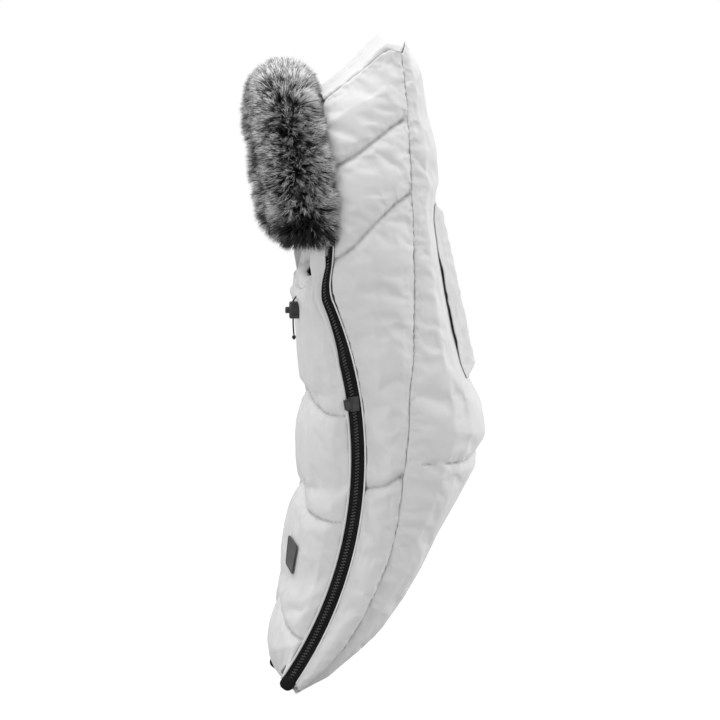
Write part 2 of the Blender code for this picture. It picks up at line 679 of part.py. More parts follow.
# Rear sleeve: a panel with a flat middle, hemmed on to the back at its top and foot
def rear_sleeve():
    up = Vector((0.0, -math.sin(SLEEVE_LEAN), math.cos(SLEEVE_LEAN)))
    out = Vector((0.0, math.cos(SLEEVE_LEAN), math.sin(SLEEVE_LEAN)))
    wing = SLEEVE_HALF_WIDTH - SLEEVE_FLAT_HALF
    spots = [SLEEVE_FLAT_HALF * k / 3 for k in range(4)] + [SLEEVE_FLAT_HALF + wing * k / 4 for k in range(1, 5)]
    spots = [-x for x in reversed(spots[1:])] + spots
    rings = []
    for x in spots:
        past = max(0.0, abs(x) - SLEEVE_FLAT_HALF)
        bend = SLEEVE_CORNER_RADIUS - math.sqrt(SLEEVE_CORNER_RADIUS ** 2 - past ** 2)
        top_seat = surface_depth(x, SLEEVE_ABOVE - SLEEVE_HEM / 2, up, out) - SEAM_GAP
        foot_seat = surface_depth(x, SLEEVE_HEM / 2 - SLEEVE_BELOW, up, out) - SEAM_GAP
        top_skin = min(bend, top_seat - SLEEVE_THICK - SLEEVE_MOUTH)
        foot_skin = min(bend, foot_seat - SLEEVE_THICK - SLEEVE_MOUTH)
        profile = [(SLEEVE_ABOVE, top_skin), (-SLEEVE_BELOW, foot_skin), (-SLEEVE_BELOW, foot_seat),
                   (-SLEEVE_BELOW + SLEEVE_HEM, foot_seat),
                   (-SLEEVE_BELOW + SLEEVE_HEM, foot_skin + SLEEVE_THICK),
                   (SLEEVE_ABOVE - SLEEVE_HEM, top_skin + SLEEVE_THICK),
                   (SLEEVE_ABOVE - SLEEVE_HEM, top_seat), (SLEEVE_ABOVE, top_seat)]
        rings.append([up * rise - out * depth + Vector((x, 0.0, 0.0)) for rise, depth in profile])
    loft("rear_sleeve", rings, SHELL_CLOTH)


def surface_depth(x, rise, up, out):
    """Least depth of the back panel under the sleeve's face near one place across it."""
    panel = bpy.data.objects["back_panel"]
    best = 1.0
    for reach in (-SLEEVE_HEM / 2, 0.0, SLEEVE_HEM / 2):
        for side in (-0.012, -0.006, 0.0, 0.006, 0.012):
            start = up * (rise + reach) + out * PROBE_REACH + Vector((x + side, 0.0, 0.0))
            hit, spot, _, _ = panel.ray_cast(start, -out)
            if hit:
                best = min(best, -spot.dot(out))
    return best


bpy.context.view_layer.update()
rear_sleeve()


# Fur trim: a thick roll round the hood's opening, from one zip over the crown to the other
def fur_trim():
    reach = FUR_DEPTH / 2 + SEAM_GAP
    edge_y = min(spot.y for spot in FRONT_EDGE.line if spot.z > FUR_FOOT) - reach
    crown_y = CROWN_LINE.at(0.0).y - reach
    side = Rail([(0.150, edge_y, FUR_FOOT + FUR_END_TAPER), (0.153, edge_y, 0.150), (0.147, edge_y, 0.210),
                 (0.128, edge_y, 0.262), (0.080, crown_y, 0.290), (0.0, crown_y, 0.297)])
    half = [side.at(k / 9) for k in range(10)]
    path = half + [flip(p) for p in reversed(half[:-1])]
    rings = []
    for k, spot in enumerate(path):
        before, after = path[max(k - 1, 0)], path[min(k + 1, len(path) - 1)]
        along = (after - before).normalized()
        outward = along.cross(Vector((0.0, 1.0, 0.0))).normalized()
        ends = min(k, len(path) - 1 - k)
        size = (0.62, 0.92)[ends] if ends < 2 else 1.0
        shift = along * (0.0 if ends else (-FUR_END_TAPER if k == 0 else FUR_END_TAPER))
        ring = []
        for n in range(12):
            angle = 2 * math.pi * n / 12
            ring.append(spot + shift + Vector((0.0, math.cos(angle) * FUR_DEPTH / 2 * size, 0.0))
                        + outward * math.sin(angle) * FUR_HEIGHT / 2 * size)
        rings.append(ring)
    loft("fur_trim", rings, FUR, None, True)


fur_trim()


# Collar casing along the cover's top edge, with the drawstring in its channel
def cover_top_edge():
    spots, downs = [], []
    for k, point in enumerate(upper_grid[0]):
        down = (upper_grid[1][k] - point).normalized()
        spots.append(point + upper_inward[0][k] * COVER_PAD / 2)
        downs.append(down)
    return spots, downs


def casing_and_drawstring():
    spots, downs = cover_top_edge()
    rings, cord = [], []
    reach = CORD_RADIUS + SEAM_GAP
    for k, spot in enumerate(spots):
        up = -downs[k]
        thick = upper_inward[0][k]
        fade = 0.55 if k in (0, len(spots) - 1) else 1.0
        half = CASING_THICK / 2 * fade
        top = CASING_HEIGHT * fade
        base = SEAM_GAP * 2
        profile = [(-half, base), (-half, top * 0.7), (-half * 0.5, top), (half * 0.5, top),
                   (half, top * 0.7), (half, base), (reach, base), (reach, base + 2 * reach + 0.0006),
                   (-reach, base + 2 * reach + 0.0006), (-reach, base)]
        rings.append([spot + thick * a + up * b for a, b in profile])
        cord.append(spot + up * (base + reach + 0.0002))
    loft("collar_casing", rings, SHELL_CLOTH, HINGE)
    rings = []
    for k, spot in enumerate(cord):
        up, thick = -downs[k], upper_inward[0][k]
        rings.append([spot + thick * math.cos(n * math.pi / 3) * CORD_RADIUS
                      + up * math.sin(n * math.pi / 3) * CORD_RADIUS for n in range(6)])
    loft("drawstring", rings, BLACK_CORD, HINGE)


casing_and_drawstring()


# Badge: a bare rubber patch bonded to the lower cover
def badge():
    panel = bpy.data.objects["lower_cover"]
    start = Vector((BADGE_X, FRONT_LINE.at(1.0).y - PROBE_REACH, BADGE_Z))
    _, spot, normal, _ = panel.ray_cast(start, Vector((0.0, 1.0, 0.0)))
    up = Vector((0.0, -normal.z, normal.y)).normalized()
    if up.z < 0:
        up = -up
    side = up.cross(normal).normalized()
    up = normal.cross(side).normalized()
    rings = []
    for lift in (0.0, BADGE_THICK):
        rings.append([(a, b, lift) for a, b in ((-0.5, -0.42), (-0.42, -0.5), (0.42, -0.5),
                                                (0.5, -0.42), (0.5, 0.42), (0.42, 0.5),
                                                (-0.42, 0.5), (-0.5, 0.42))])
    proud = 0.0
    for a in (-0.5, -0.25, 0.0, 0.25, 0.5):
        for b in (-0.5, -0.25, 0.0, 0.25, 0.5):
            probe = spot + side * a * BADGE_WIDTH + up * b * BADGE_HEIGHT + normal * PROBE_REACH
            hit, place, _, _ = panel.ray_cast(probe, -normal)
            if hit:
                proud = max(proud, (place - spot).dot(normal))
    solid = [[spot + side * a * BADGE_WIDTH + up * b * BADGE_HEIGHT
              + normal * (proud + SEAM_GAP + lift) for a, b, lift in ring] for ring in rings]
    loft("badge", solid, GREY_RUBBER)


bpy.context.view_layer.update()
badge()


# Cord lock on the drawstring's end: a barrel with a sprung button, and the cord's tail
def ring_of(centre, radius, axis, count, across):
    other = axis.cross(across).normalized()
    return [centre + across * math.cos(2 * math.pi * k / count) * radius
            + other * math.sin(2 * math.pi * k / count) * radius for k in range(count)]


def cutter_for(body, name, rings, operation="DIFFERENCE"):
    cutter = loft(name, rings, BLACK_RESIN)
    cutter.hide_render = True
    cutter.display_type = "WIRE"
    cut = body.modifiers.new(name, "BOOLEAN")
    cut.operation = operation
    cut.solver = "EXACT"
    cut.object = cutter


def cord_lock():
    cover = bpy.data.objects["upper_cover"]
    height = FRONT_LINE.at(0.0).z - LOCK_DROP - LOCK_HEIGHT / 2
    front = 1.0
    for step in range(7):
        probe = Vector((LOCK_X, FRONT_LINE.at(0.0).y - PROBE_REACH, height + LOCK_HEIGHT * (step / 6 - 0.5)))
        hit, spot, _, _ = cover.ray_cast(probe - cover.location, Vector((0.0, 1.0, 0.0)))
        if hit:
            front = min(front, spot.y + cover.location.y)
    back_y = front - SEAM_GAP
    middle = Vector((LOCK_X, back_y - LOCK_DEPTH / 2, height))
    wide, tall = LOCK_WIDTH / 2, LOCK_HEIGHT / 2
    rings = []
    for part, size in ((-0.5, 0.86), (-0.42, 1.0), (0.42, 1.0), (0.5, 0.86)):
        ring = []
        for k in range(12):
            angle = 2 * math.pi * k / 12
            ring.append(middle + Vector((wide * size * abs(math.cos(angle)) ** 0.6
                                         * math.copysign(1, math.cos(angle)), part * LOCK_DEPTH,
                                         tall * size * abs(math.sin(angle)) ** 0.6
                                         * math.copysign(1, math.sin(angle)))))
        rings.append(ring)
    body = loft("cord_lock_body", rings, BLACK_RESIN, HINGE)
    x_axis, y_axis, z_axis = Vector((1, 0, 0)), Vector((0, 1, 0)), Vector((0, 0, 1))
    mouth = middle.y - LOCK_DEPTH / 2
    bore = BUTTON_RADIUS + SEAM_GAP
    bottom = mouth + LOCK_DEPTH - LOCK_BACK_WALL
    cutter_for(body, "bore_cutter", [ring_of(Vector((middle.x, y, middle.z)), bore, y_axis, 16, x_axis)
                                     for y in (mouth - CUT_PAST, bottom)])
    cord_y = mouth + BUTTON_TRAVEL + CORD_RADIUS + 2 * SEAM_GAP
    hole = CORD_RADIUS + SEAM_GAP
    cutter_for(body, "cord_hole_cutter",
               [ring_of(Vector((middle.x, cord_y, z)), hole, z_axis, 8, x_axis)
                for z in (middle.z - tall - CUT_PAST, middle.z + tall + CUT_PAST)])
    button_back = mouth - BUTTON_PROUD + BUTTON_LENGTH
    button = loft("cord_lock_button",
                  [ring_of(Vector((middle.x, y, middle.z)), BUTTON_RADIUS * s, y_axis, 16, x_axis)
                   for y, s in ((mouth - BUTTON_PROUD, 0.8), (mouth - BUTTON_PROUD + 0.001, 1.0),
                                (button_back, 1.0))],
                  BLACK_RESIN, Vector((middle.x, mouth, middle.z)), True)
    button.data.set_sharp_from_angle(angle=math.radians(40))
    slot_front = cord_y - CORD_RADIUS - SEAM_GAP - BUTTON_TRAVEL
    slot_back = cord_y + CORD_RADIUS + SEAM_GAP
    rings = []
    for z in (middle.z - tall, middle.z + tall):
        rings.append([Vector((middle.x - hole, slot_front, z)), Vector((middle.x + hole, slot_front, z)),
                      Vector((middle.x + hole, slot_back, z)), Vector((middle.x - hole, slot_back, z))])
    cutter_for(button, "slot_cutter", rings)
    spring_from, spring_to = button_back + SEAM_GAP, bottom - SEAM_GAP
    wire, turns = 0.00030, 3
    radius = BUTTON_RADIUS - 0.0008
    rings = []
    for k in range(turns * 8 + 1):
        angle = 2 * math.pi * k / 8
        out = Vector((math.cos(angle), 0.0, math.sin(angle)))
        y = spring_from + wire + (spring_to - spring_from - 2 * wire) * k / (turns * 8)
        centre = Vector((middle.x, y, middle.z)) + out * radius
        rings.append([centre + out * math.cos(n * math.pi / 2) * wire
                      + y_axis * math.sin(n * math.pi / 2) * wire for n in range(4)])
    loft("cord_lock_spring", rings, SPRING_STEEL, HINGE)
    return Vector((middle.x, cord_y, middle.z))


lock_middle = cord_lock()


def cord_tail():
    """The free end of the drawstring: out over the collar, through the lock and down to a knot."""
    bottom = lock_middle.z - LOCK_HEIGHT / 2 - CORD_TAIL
    casing = bpy.data.objects["collar_casing"]
    exit_z = FRONT_LINE.at(0.0).z + CASING_HEIGHT / 2
    probe = Vector((lock_middle.x, lock_middle.y - PROBE_REACH, exit_z)) - casing.location
    _, spot, _, _ = casing.ray_cast(probe, Vector((0.0, 1.0, 0.0)))
    exit_y = spot.y + casing.location.y - CORD_RADIUS - SEAM_GAP
    route = Rail([(lock_middle.x, exit_y, exit_z),
                  (lock_middle.x, lock_middle.y, lock_middle.z + LOCK_HEIGHT / 2 + 6 * CORD_RADIUS),
                  (lock_middle.x, lock_middle.y, lock_middle.z + LOCK_HEIGHT / 2),
                  (lock_middle.x, lock_middle.y, lock_middle.z),
                  (lock_middle.x, lock_middle.y, lock_middle.z - LOCK_HEIGHT / 2 - 0.012),
                  (lock_middle.x + 0.002, lock_middle.y + 0.001, bottom)])
    curve = bpy.data.curves.new("cord_tail", "CURVE")
    curve.dimensions = "3D"
    line = curve.splines.new("POLY")
    count = 18
    line.points.add(count)
    for k in range(count + 1):
        line.points[k].co = (*route.at(k / count), 1.0)
    curve.bevel_depth = CORD_RADIUS
    curve.bevel_resolution = 1
    curve.use_fill_caps = True
    curve.materials.append(BLACK_CORD)
    thing = bpy.data.objects.new("cord_tail", curve)
    bpy.context.collection.objects.link(thing)
    end = route.at(1.0)
    rings = []
    for part, size in ((0.0, 0.5), (0.25, 0.95), (0.6, 1.0), (1.0, 0.45)):
        rings.append(ring_of(end - Vector((0, 0, SEAM_GAP + KNOT_LENGTH * part)), KNOT_RADIUS * size,
                             Vector((0, 0, 1)), 8, Vector((1, 0, 0))))
    loft("cord_knot", rings, BLACK_CORD, None, True)


cord_tail()
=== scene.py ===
import json
import math
import random

import bpy
import numpy as np
from mathutils import Matrix, Vector, noise
from mathutils.bvhtree import BVHTree

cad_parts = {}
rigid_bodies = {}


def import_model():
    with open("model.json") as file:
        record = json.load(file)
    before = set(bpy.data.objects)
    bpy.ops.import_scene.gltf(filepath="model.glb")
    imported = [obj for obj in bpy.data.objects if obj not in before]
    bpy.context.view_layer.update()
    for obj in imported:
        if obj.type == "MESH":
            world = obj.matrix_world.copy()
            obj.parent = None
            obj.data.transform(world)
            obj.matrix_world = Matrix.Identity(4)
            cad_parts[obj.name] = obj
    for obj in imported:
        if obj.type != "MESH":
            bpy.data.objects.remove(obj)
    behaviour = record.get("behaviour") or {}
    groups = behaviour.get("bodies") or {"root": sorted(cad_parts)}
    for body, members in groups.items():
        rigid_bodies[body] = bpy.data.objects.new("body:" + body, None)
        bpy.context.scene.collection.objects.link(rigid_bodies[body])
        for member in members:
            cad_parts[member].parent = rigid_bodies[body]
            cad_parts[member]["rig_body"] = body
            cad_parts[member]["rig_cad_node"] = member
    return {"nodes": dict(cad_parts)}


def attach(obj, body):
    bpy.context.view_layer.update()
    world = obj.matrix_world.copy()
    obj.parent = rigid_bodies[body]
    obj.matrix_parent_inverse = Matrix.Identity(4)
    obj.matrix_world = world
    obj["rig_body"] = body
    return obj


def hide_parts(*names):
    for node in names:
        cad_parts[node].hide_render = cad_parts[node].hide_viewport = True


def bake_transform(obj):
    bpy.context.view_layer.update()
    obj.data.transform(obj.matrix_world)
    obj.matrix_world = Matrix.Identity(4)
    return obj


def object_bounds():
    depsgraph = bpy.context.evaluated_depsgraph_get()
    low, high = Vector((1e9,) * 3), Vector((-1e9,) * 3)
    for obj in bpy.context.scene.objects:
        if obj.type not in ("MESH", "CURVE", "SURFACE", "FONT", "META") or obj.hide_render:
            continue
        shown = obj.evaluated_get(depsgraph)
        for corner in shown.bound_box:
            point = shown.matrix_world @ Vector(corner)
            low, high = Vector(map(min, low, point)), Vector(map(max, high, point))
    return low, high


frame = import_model()
cad_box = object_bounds()
nodes = frame["nodes"]


# Camera: the footmuff is seen from the child's left, a little from the front and from above,
# through a long lens, with the whole height in a square frame.
view_turn = math.radians(85.5)
view_drop = math.radians(4.0)
frame_width = 720 * 0.00138
aim = Vector((0.0, -0.1339, -0.0828))
distance = 7.0
bpy.ops.object.select_all(action="DESELECT")
look = Vector((-math.sin(view_turn) * math.cos(view_drop), math.cos(view_turn) * math.cos(view_drop),
               -math.sin(view_drop)))
bpy.ops.object.camera_add(location=aim - look * distance)
camera = bpy.context.object
camera.name = "side_camera"
camera.rotation_euler = look.to_track_quat("-Z", "Y").to_euler()
camera.data.sensor_width = 36.0
camera.data.lens = 36.0 * distance / frame_width
bpy.context.scene.camera = camera


# Shell cloth: a light grey nylon, plain woven and downproof, with a faint satin sheen. It is thin,
# so the wadding behind it lets it crease finely all over.
def thread_bump():
    """Node group: the relief of a plain weave, finest on any side the cloth faces."""
    group = bpy.data.node_groups.new("plain_weave", "ShaderNodeTree")
    group.interface.new_socket("Threads", in_out="INPUT", socket_type="NodeSocketFloat")
    group.interface.new_socket("Height", in_out="OUTPUT", socket_type="NodeSocketFloat")
    enter = group.nodes.new("NodeGroupInput")
    leave = group.nodes.new("NodeGroupOutput")
    place = group.nodes.new("ShaderNodeTexCoord")
    total = None
    for direction in ("X", "Y", "Z"):
        wave = group.nodes.new("ShaderNodeTexWave")
        wave.bands_direction = direction
        wave.inputs["Distortion"].default_value = 0.6
        wave.inputs["Detail"].default_value = 1.0
        group.links.new(place.outputs["Object"], wave.inputs["Vector"])
        group.links.new(enter.outputs["Threads"], wave.inputs["Scale"])
        if total is None:
            total = wave.outputs["Fac"]
            continue
        add = group.nodes.new("ShaderNodeMath")
        add.operation = "ADD"
        group.links.new(total, add.inputs[0])
        group.links.new(wave.outputs["Fac"], add.inputs[1])
        total = add.outputs[0]
    group.links.new(total, leave.inputs["Height"])
    return group


def crease_bump():
    """Node group: the shallow creases of thin cloth over wadding, and a mask of their crests, which sets the gloss and
    paints shade into the troughs.
    """
    group = bpy.data.node_groups.new("soft_creases", "ShaderNodeTree")
    group.interface.new_socket("Size", in_out="INPUT", socket_type="NodeSocketFloat")
    group.interface.new_socket("Height", in_out="OUTPUT", socket_type="NodeSocketFloat")
    group.interface.new_socket("CrestAndShade", in_out="OUTPUT", socket_type="NodeSocketFloat")
    enter = group.nodes.new("NodeGroupInput")
    leave = group.nodes.new("NodeGroupOutput")
    place = group.nodes.new("ShaderNodeTexCoord")
    turn = group.nodes.new("ShaderNodeMapping")
    turn.inputs["Rotation"].default_value = (0.5, 0.35, 0.2)
    turn.inputs["Scale"].default_value = (1.0, 1.0, 0.55)
    broad = group.nodes.new("ShaderNodeTexNoise")
    broad.inputs["Detail"].default_value = 4.0
    broad.inputs["Distortion"].default_value = 0.7
    fine = group.nodes.new("ShaderNodeTexNoise")
    fine.noise_type = "RIDGED_MULTIFRACTAL"
    fine.inputs["Detail"].default_value = 3.0
    doubled = group.nodes.new("ShaderNodeMath")
    doubled.operation = "MULTIPLY"
    doubled.inputs[1].default_value = 2.3
    share = group.nodes.new("ShaderNodeMath")
    share.operation = "MULTIPLY"
    share.inputs[1].default_value = 0.22
    both = group.nodes.new("ShaderNodeMath")
    both.operation = "ADD"
    group.links.new(place.outputs["Object"], turn.inputs["Vector"])
    group.links.new(turn.outputs["Vector"], broad.inputs["Vector"])
    group.links.new(turn.outputs["Vector"], fine.inputs["Vector"])
    group.links.new(enter.outputs["Size"], broad.inputs["Scale"])
    group.links.new(enter.outputs["Size"], doubled.inputs[0])
    group.links.new(doubled.outputs[0], fine.inputs["Scale"])
    group.links.new(fine.outputs["Fac"], share.inputs[0])
    group.links.new(broad.outputs["Fac"], both.inputs[0])
    group.links.new(share.outputs[0], both.inputs[1])
    group.links.new(both.outputs[0], leave.inputs["Height"])
    group.links.new(broad.outputs["Fac"], leave.inputs["CrestAndShade"])
    return group


weave_group = thread_bump()
crease_group = crease_bump()


def woven(name, dark, light, roughness, threads, weave_depth, crease_size, crease_depth, sheen):
    """A cloth: two close tints laid by the crease height, darker in the troughs as painted shade and paler on the
    crests, a relief of the weave's threads and soft creases.
    """
    finish = bpy.data.materials.new(name)
    finish.use_nodes = True
    tree = finish.node_tree
    shader = tree.nodes["Principled BSDF"]
    shader.inputs["Sheen Weight"].default_value = sheen
    shader.inputs["Sheen Roughness"].default_value = 0.4
    shader.inputs["Specular IOR Level"].default_value = 0.35
    weave = tree.nodes.new("ShaderNodeGroup")
    weave.node_tree = weave_group
    weave.inputs["Threads"].default_value = threads
    crease = tree.nodes.new("ShaderNodeGroup")
    crease.node_tree = crease_group
    crease.inputs["Size"].default_value = crease_size
    tint = tree.nodes.new("ShaderNodeValToRGB")
    tint.color_ramp.elements[0].position = 0.3
    tint.color_ramp.elements[0].color = (*dark, 1.0)
    tint.color_ramp.elements[1].position = 0.7
    tint.color_ramp.elements[1].color = (*light, 1.0)
    gloss = tree.nodes.new("ShaderNodeMapRange")
    gloss.inputs["To Min"].default_value = roughness + 0.07
    gloss.inputs["To Max"].default_value = roughness - 0.07
    thread_relief = tree.nodes.new("ShaderNodeBump")
    thread_relief.inputs["Strength"].default_value = 0.5
    thread_relief.inputs["Distance"].default_value = weave_depth
    crease_relief = tree.nodes.new("ShaderNodeBump")
    crease_relief.inputs["Strength"].default_value = 1.0
    crease_relief.inputs["Distance"].default_value = crease_depth
    # Along the quilting lines the colour darkens towards 0.55 of the dark tint: the stitch line itself, and painted
    # shade in its crease.
    stitch_shade = tree.nodes.new("ShaderNodeAttribute")
    stitch_shade.attribute_name = "stitch_shade"
    stitch_shaded = tree.nodes.new("ShaderNodeMix")
    stitch_shaded.data_type = "RGBA"
    stitch_shaded.inputs["B"].default_value = (*(tone * 0.55 for tone in dark), 1.0)
    # The tint follows the crease crests: painted shade in the crease troughs, paler cloth on the crests.
    tree.links.new(crease.outputs["CrestAndShade"], tint.inputs["Fac"])
    tree.links.new(stitch_shade.outputs["Fac"], stitch_shaded.inputs["Factor"])
    tree.links.new(tint.outputs["Color"], stitch_shaded.inputs["A"])
    tree.links.new(stitch_shaded.outputs["Result"], shader.inputs["Base Color"])
    tree.links.new(crease.outputs["CrestAndShade"], gloss.inputs["Value"])
    tree.links.new(gloss.outputs["Result"], shader.inputs["Roughness"])
    tree.links.new(crease.outputs["Height"], crease_relief.inputs["Height"])
    tree.links.new(crease_relief.outputs["Normal"], thread_relief.inputs["Normal"])
    tree.links.new(weave.outputs["Height"], thread_relief.inputs["Height"])
    tree.links.new(thread_relief.outputs["Normal"], shader.inputs["Normal"])
    return finish


grey_nylon = woven("grey_nylon", (0.635, 0.635, 0.635), (0.680, 0.680, 0.680), 0.5, 900.0, 0.00010, 26.0,
                   0.0005, 0.12)


# Outer shell: side, back and hood panels of nylon over loose wadding, sewn edge to edge and quilted
# through along a few slanting lines. The cloth is cut larger than the wadding, so it gathers at
# every line of stitching.
cavity_middle = [(-0.117, 0.360), (-0.120, 0.069), (-0.106, -0.041), (-0.099, -0.138), (-0.106, -0.207),
                 (-0.127, -0.276), (-0.150, -0.359), (-0.182, -0.442), (-0.215, -0.534)]
cloth_cell = 0.0045
stitch_sink = 0.0058
side_lines = [[(-0.0861, 0.2517), (-0.1041, 0.2407), (-0.1275, 0.2227), (-0.1524, 0.2034), (-0.1731, 0.1924),
               (-0.1950, 0.1830)],
              [(-0.0774, 0.1532), (-0.0981, 0.1394), (-0.1257, 0.1132), (-0.1561, 0.0800), (-0.1685, 0.0704),
               (-0.1860, 0.0600)],
              [(-0.0809, -0.2243), (-0.0974, -0.2339), (-0.1112, -0.2422), (-0.1347, -0.2477),
               (-0.1500, -0.2490)]]
back_lines = [[(0.0, -0.174), (0.035, -0.186), (0.075, -0.199), (0.105, -0.204), (0.140, -0.212),
               (0.170, -0.2135)]]


def merged_copy(name, *sources):
    """One object with the joined, merged meshes of these CAD nodes, at the origin."""
    bpy.ops.object.select_all(action="DESELECT")
    copies = []
    for source in sources:
        copy = nodes[source].copy()
        copy.data = nodes[source].data.copy()
        copy.parent = None
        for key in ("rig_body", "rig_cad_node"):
            del copy[key]
        bpy.context.scene.collection.objects.link(copy)
        copies.append(copy)
        copy.select_set(True)
    bpy.context.view_layer.objects.active = copies[0]
    if len(copies) > 1:
        bpy.ops.object.join()
    piece = bpy.context.object
    piece.name = name
    piece.data.name = name
    bpy.ops.object.mode_set(mode="EDIT")
    bpy.ops.mesh.select_all(action="SELECT")
    bpy.ops.mesh.remove_doubles(threshold=0.00002)
    bpy.ops.object.mode_set(mode="OBJECT")
    piece.data.materials.clear()
    return piece


def points_of(piece):
    flat = np.zeros(len(piece.data.vertices) * 3)
    piece.data.vertices.foreach_get("co", flat)
    return flat.reshape(-1, 3)


def normals_of(piece):
    flat = np.zeros(len(piece.data.vertices) * 3)
    piece.data.vertices.foreach_get("normal", flat)
    return flat.reshape(-1, 3)


def move_points(piece, points):
    piece.data.vertices.foreach_set("co", points.ravel())
    piece.data.update()


def outwardness(points, normals):
    """How squarely each point of the cloth faces away from the middle of the cavity, -1 to 1."""
    heights = [z for _, z in reversed(cavity_middle)]
    depths = [y for y, _ in reversed(cavity_middle)]
    middle = np.interp(points[:, 2], heights, depths)
    away = np.column_stack([points[:, 0], points[:, 1] - middle, np.zeros(len(points))])
    away /= np.maximum(np.linalg.norm(away, axis=1), 1e-6)[:, None]
    return (away * normals).sum(axis=1)


def box_of(name):
    """Lowest and highest corner of a CAD node's mesh."""
    spots = points_of(nodes[name])
    return spots.min(axis=0), spots.max(axis=0)


covered_boxes = [box_of("badge"), box_of("rear_sleeve")]


def freedom(points):
    """How far the cloth may move: nothing below the badge and the sleeve, all of it 3 cm away."""
    free = np.ones(len(points))
    for low, high in covered_boxes:
        outside = np.maximum(np.maximum(low - points, points - high), 0.0)
        free = np.minimum(free, np.clip((np.linalg.norm(outside, axis=1) - 0.004) / 0.026, 0.0, 1.0))
    return free


def settled(points):
    """The pocket's mouth as the drawstring leaves it: pulled back, leaning in, and bulging over
    the cord lock. The hood's crown is rounded over."""
    heights = points[:, 2]
    front = np.clip((-0.165 - points[:, 1]) / 0.03, 0.0, 1.0)
    front *= front * (3 - 2 * front)
    back = np.interp(heights, (0.010, 0.030, 0.058, 0.078, 0.100, 0.130, 0.160),
                     (0.0, 0.003, 0.008, 0.010, 0.009, 0.005, 0.0))
    inner = np.clip((0.155 - np.abs(points[:, 0])) / 0.022, 0.0, 1.0)
    lean = np.interp(heights, (-0.010, 0.020, 0.032, 0.038, 0.043, 0.052, 0.066, 0.077, 0.092),
                     (0.0, -0.004, -0.006, -0.003, 0.004, 0.020, 0.026, 0.020, 0.0))
    wide = np.clip((0.135 - np.abs(points[:, 0])) / 0.05, 0.0, 1.0)
    bulge = 0.0062 * np.exp(-((heights - 0.0115) / 0.0085) ** 2) * wide
    rounded = np.interp(points[:, 1], (-0.150, -0.128, -0.106, -0.090, -0.074, -0.055),
                        (0.0, 0.006, 0.0130, 0.006, -0.003, -0.002)) * np.clip((heights - 0.29) / 0.04, 0.0, 1.0)
    moved = points.copy()
    moved[:, 1] += (back + lean * inner - bulge) * front
    moved[:, 2] += rounded
    return moved


def line_on_cloth(tree, line, side, steps):
    """The quilting line laid on the cloth: side says from where its points are dropped on to it."""
    spots = []
    for a, b in zip(line, line[1:]):
        for step in range(steps):
            u = a[0] + (b[0] - a[0]) * step / steps
            v = a[1] + (b[1] - a[1]) * step / steps
            for sign in (1.0, -1.0):
                if side == "side":
                    hit = tree.ray_cast(Vector((0.5 * sign, u, v)), Vector((-sign, 0.0, 0.0)))
                elif side == "back":
                    hit = tree.ray_cast(Vector((u * sign, 0.5, v)), Vector((0.0, -1.0, 0.0)))
                else:
                    hit = tree.ray_cast(Vector((u * sign, -0.6, v)), Vector((0.0, 1.0, 0.0)))
                if hit[0] is not None:
                    spots.append(hit[0])
    return spots


def distance_to(points, spots):
    """Each point's distance to the nearest of the spots of a stitching line."""
    if not spots:
        return np.full(len(points), 1.0)
    grid = np.array([tuple(spot) for spot in spots])
    nearest = np.full(len(points), 1.0)
    for start in range(0, len(grid), 64):
        block = grid[start:start + 64]
        gaps = np.linalg.norm(points[:, None, :] - block[None, :, :], axis=2)
        nearest = np.minimum(nearest, gaps.min(axis=1))
    return nearest


def prepare_cloth(piece, lines, edge_spots, growth, pressure):
    """Remeshes a panel, sinks its stitching lines and gives it a cloth simulation pinned to them."""
    tree = BVHTree.FromObject(piece, bpy.context.evaluated_depsgraph_get())
    spots = []
    for side, line in lines:
        spots += line_on_cloth(tree, line, side, 6)
    corners = points_of(piece)
    at_foot = np.clip((-0.470 - corners[:, 2]) / 0.02, 0.0, 1.0)
    move_points(piece, corners + normals_of(piece) * 0.0018 * at_foot[:, None])
    piece.data.remesh_voxel_size = cloth_cell
    bpy.context.view_layer.objects.active = piece
    bpy.ops.object.voxel_remesh()
    move_points(piece, settled(points_of(piece)))
    points = points_of(piece)
    normals = normals_of(piece)
    facing = outwardness(points, normals)
    to_line = distance_to(points, spots)
    to_edge = distance_to(points, edge_spots)
    free = freedom(points)
    sink = stitch_sink * np.exp(-np.abs(to_line / 0.0060) ** 1.2) * np.clip(facing * 2, 0, 1)
    drawn = np.exp(-np.minimum(to_line, to_edge) / 0.012)
    ruffle = np.array([noise.noise(Vector(p) * 105.0) for p in points]) * (0.0002 + 0.0014 * drawn)
    move_points(piece, points + normals * (np.where(facing > 0.4, ruffle, 0.0) - sink)[:, None] * free[:, None])
    held = np.where((facing < 0.45) | (to_line < 0.0035) | (to_edge < 0.004) | (free < 0.1), 1.0, 0.0)
    pins = piece.vertex_groups.new(name="stitched")
    for index in np.flatnonzero(held):
        pins.add([int(index)], 1.0, "REPLACE")
    cloth = piece.modifiers.new("swell", "CLOTH")
    cloth.settings.quality = 5
    cloth.settings.mass = 0.25
    cloth.settings.tension_stiffness = 25.0
    cloth.settings.compression_stiffness = 20.0
    cloth.settings.shear_stiffness = 8.0
    cloth.settings.bending_stiffness = 2.5
    cloth.settings.air_damping = 3.0
    cloth.settings.vertex_group_mass = "stitched"
    cloth.settings.shrink_min = -growth
    cloth.settings.use_pressure = True
    cloth.settings.uniform_pressure_force = pressure
    cloth.settings.effector_weights.gravity = 0.0
    cloth.collision_settings.use_collision = False
    cloth.collision_settings.use_self_collision = False
    cloth.point_cache.frame_start = 1
    cloth.point_cache.frame_end = 20
    return points_of(piece), lines, edge_spots


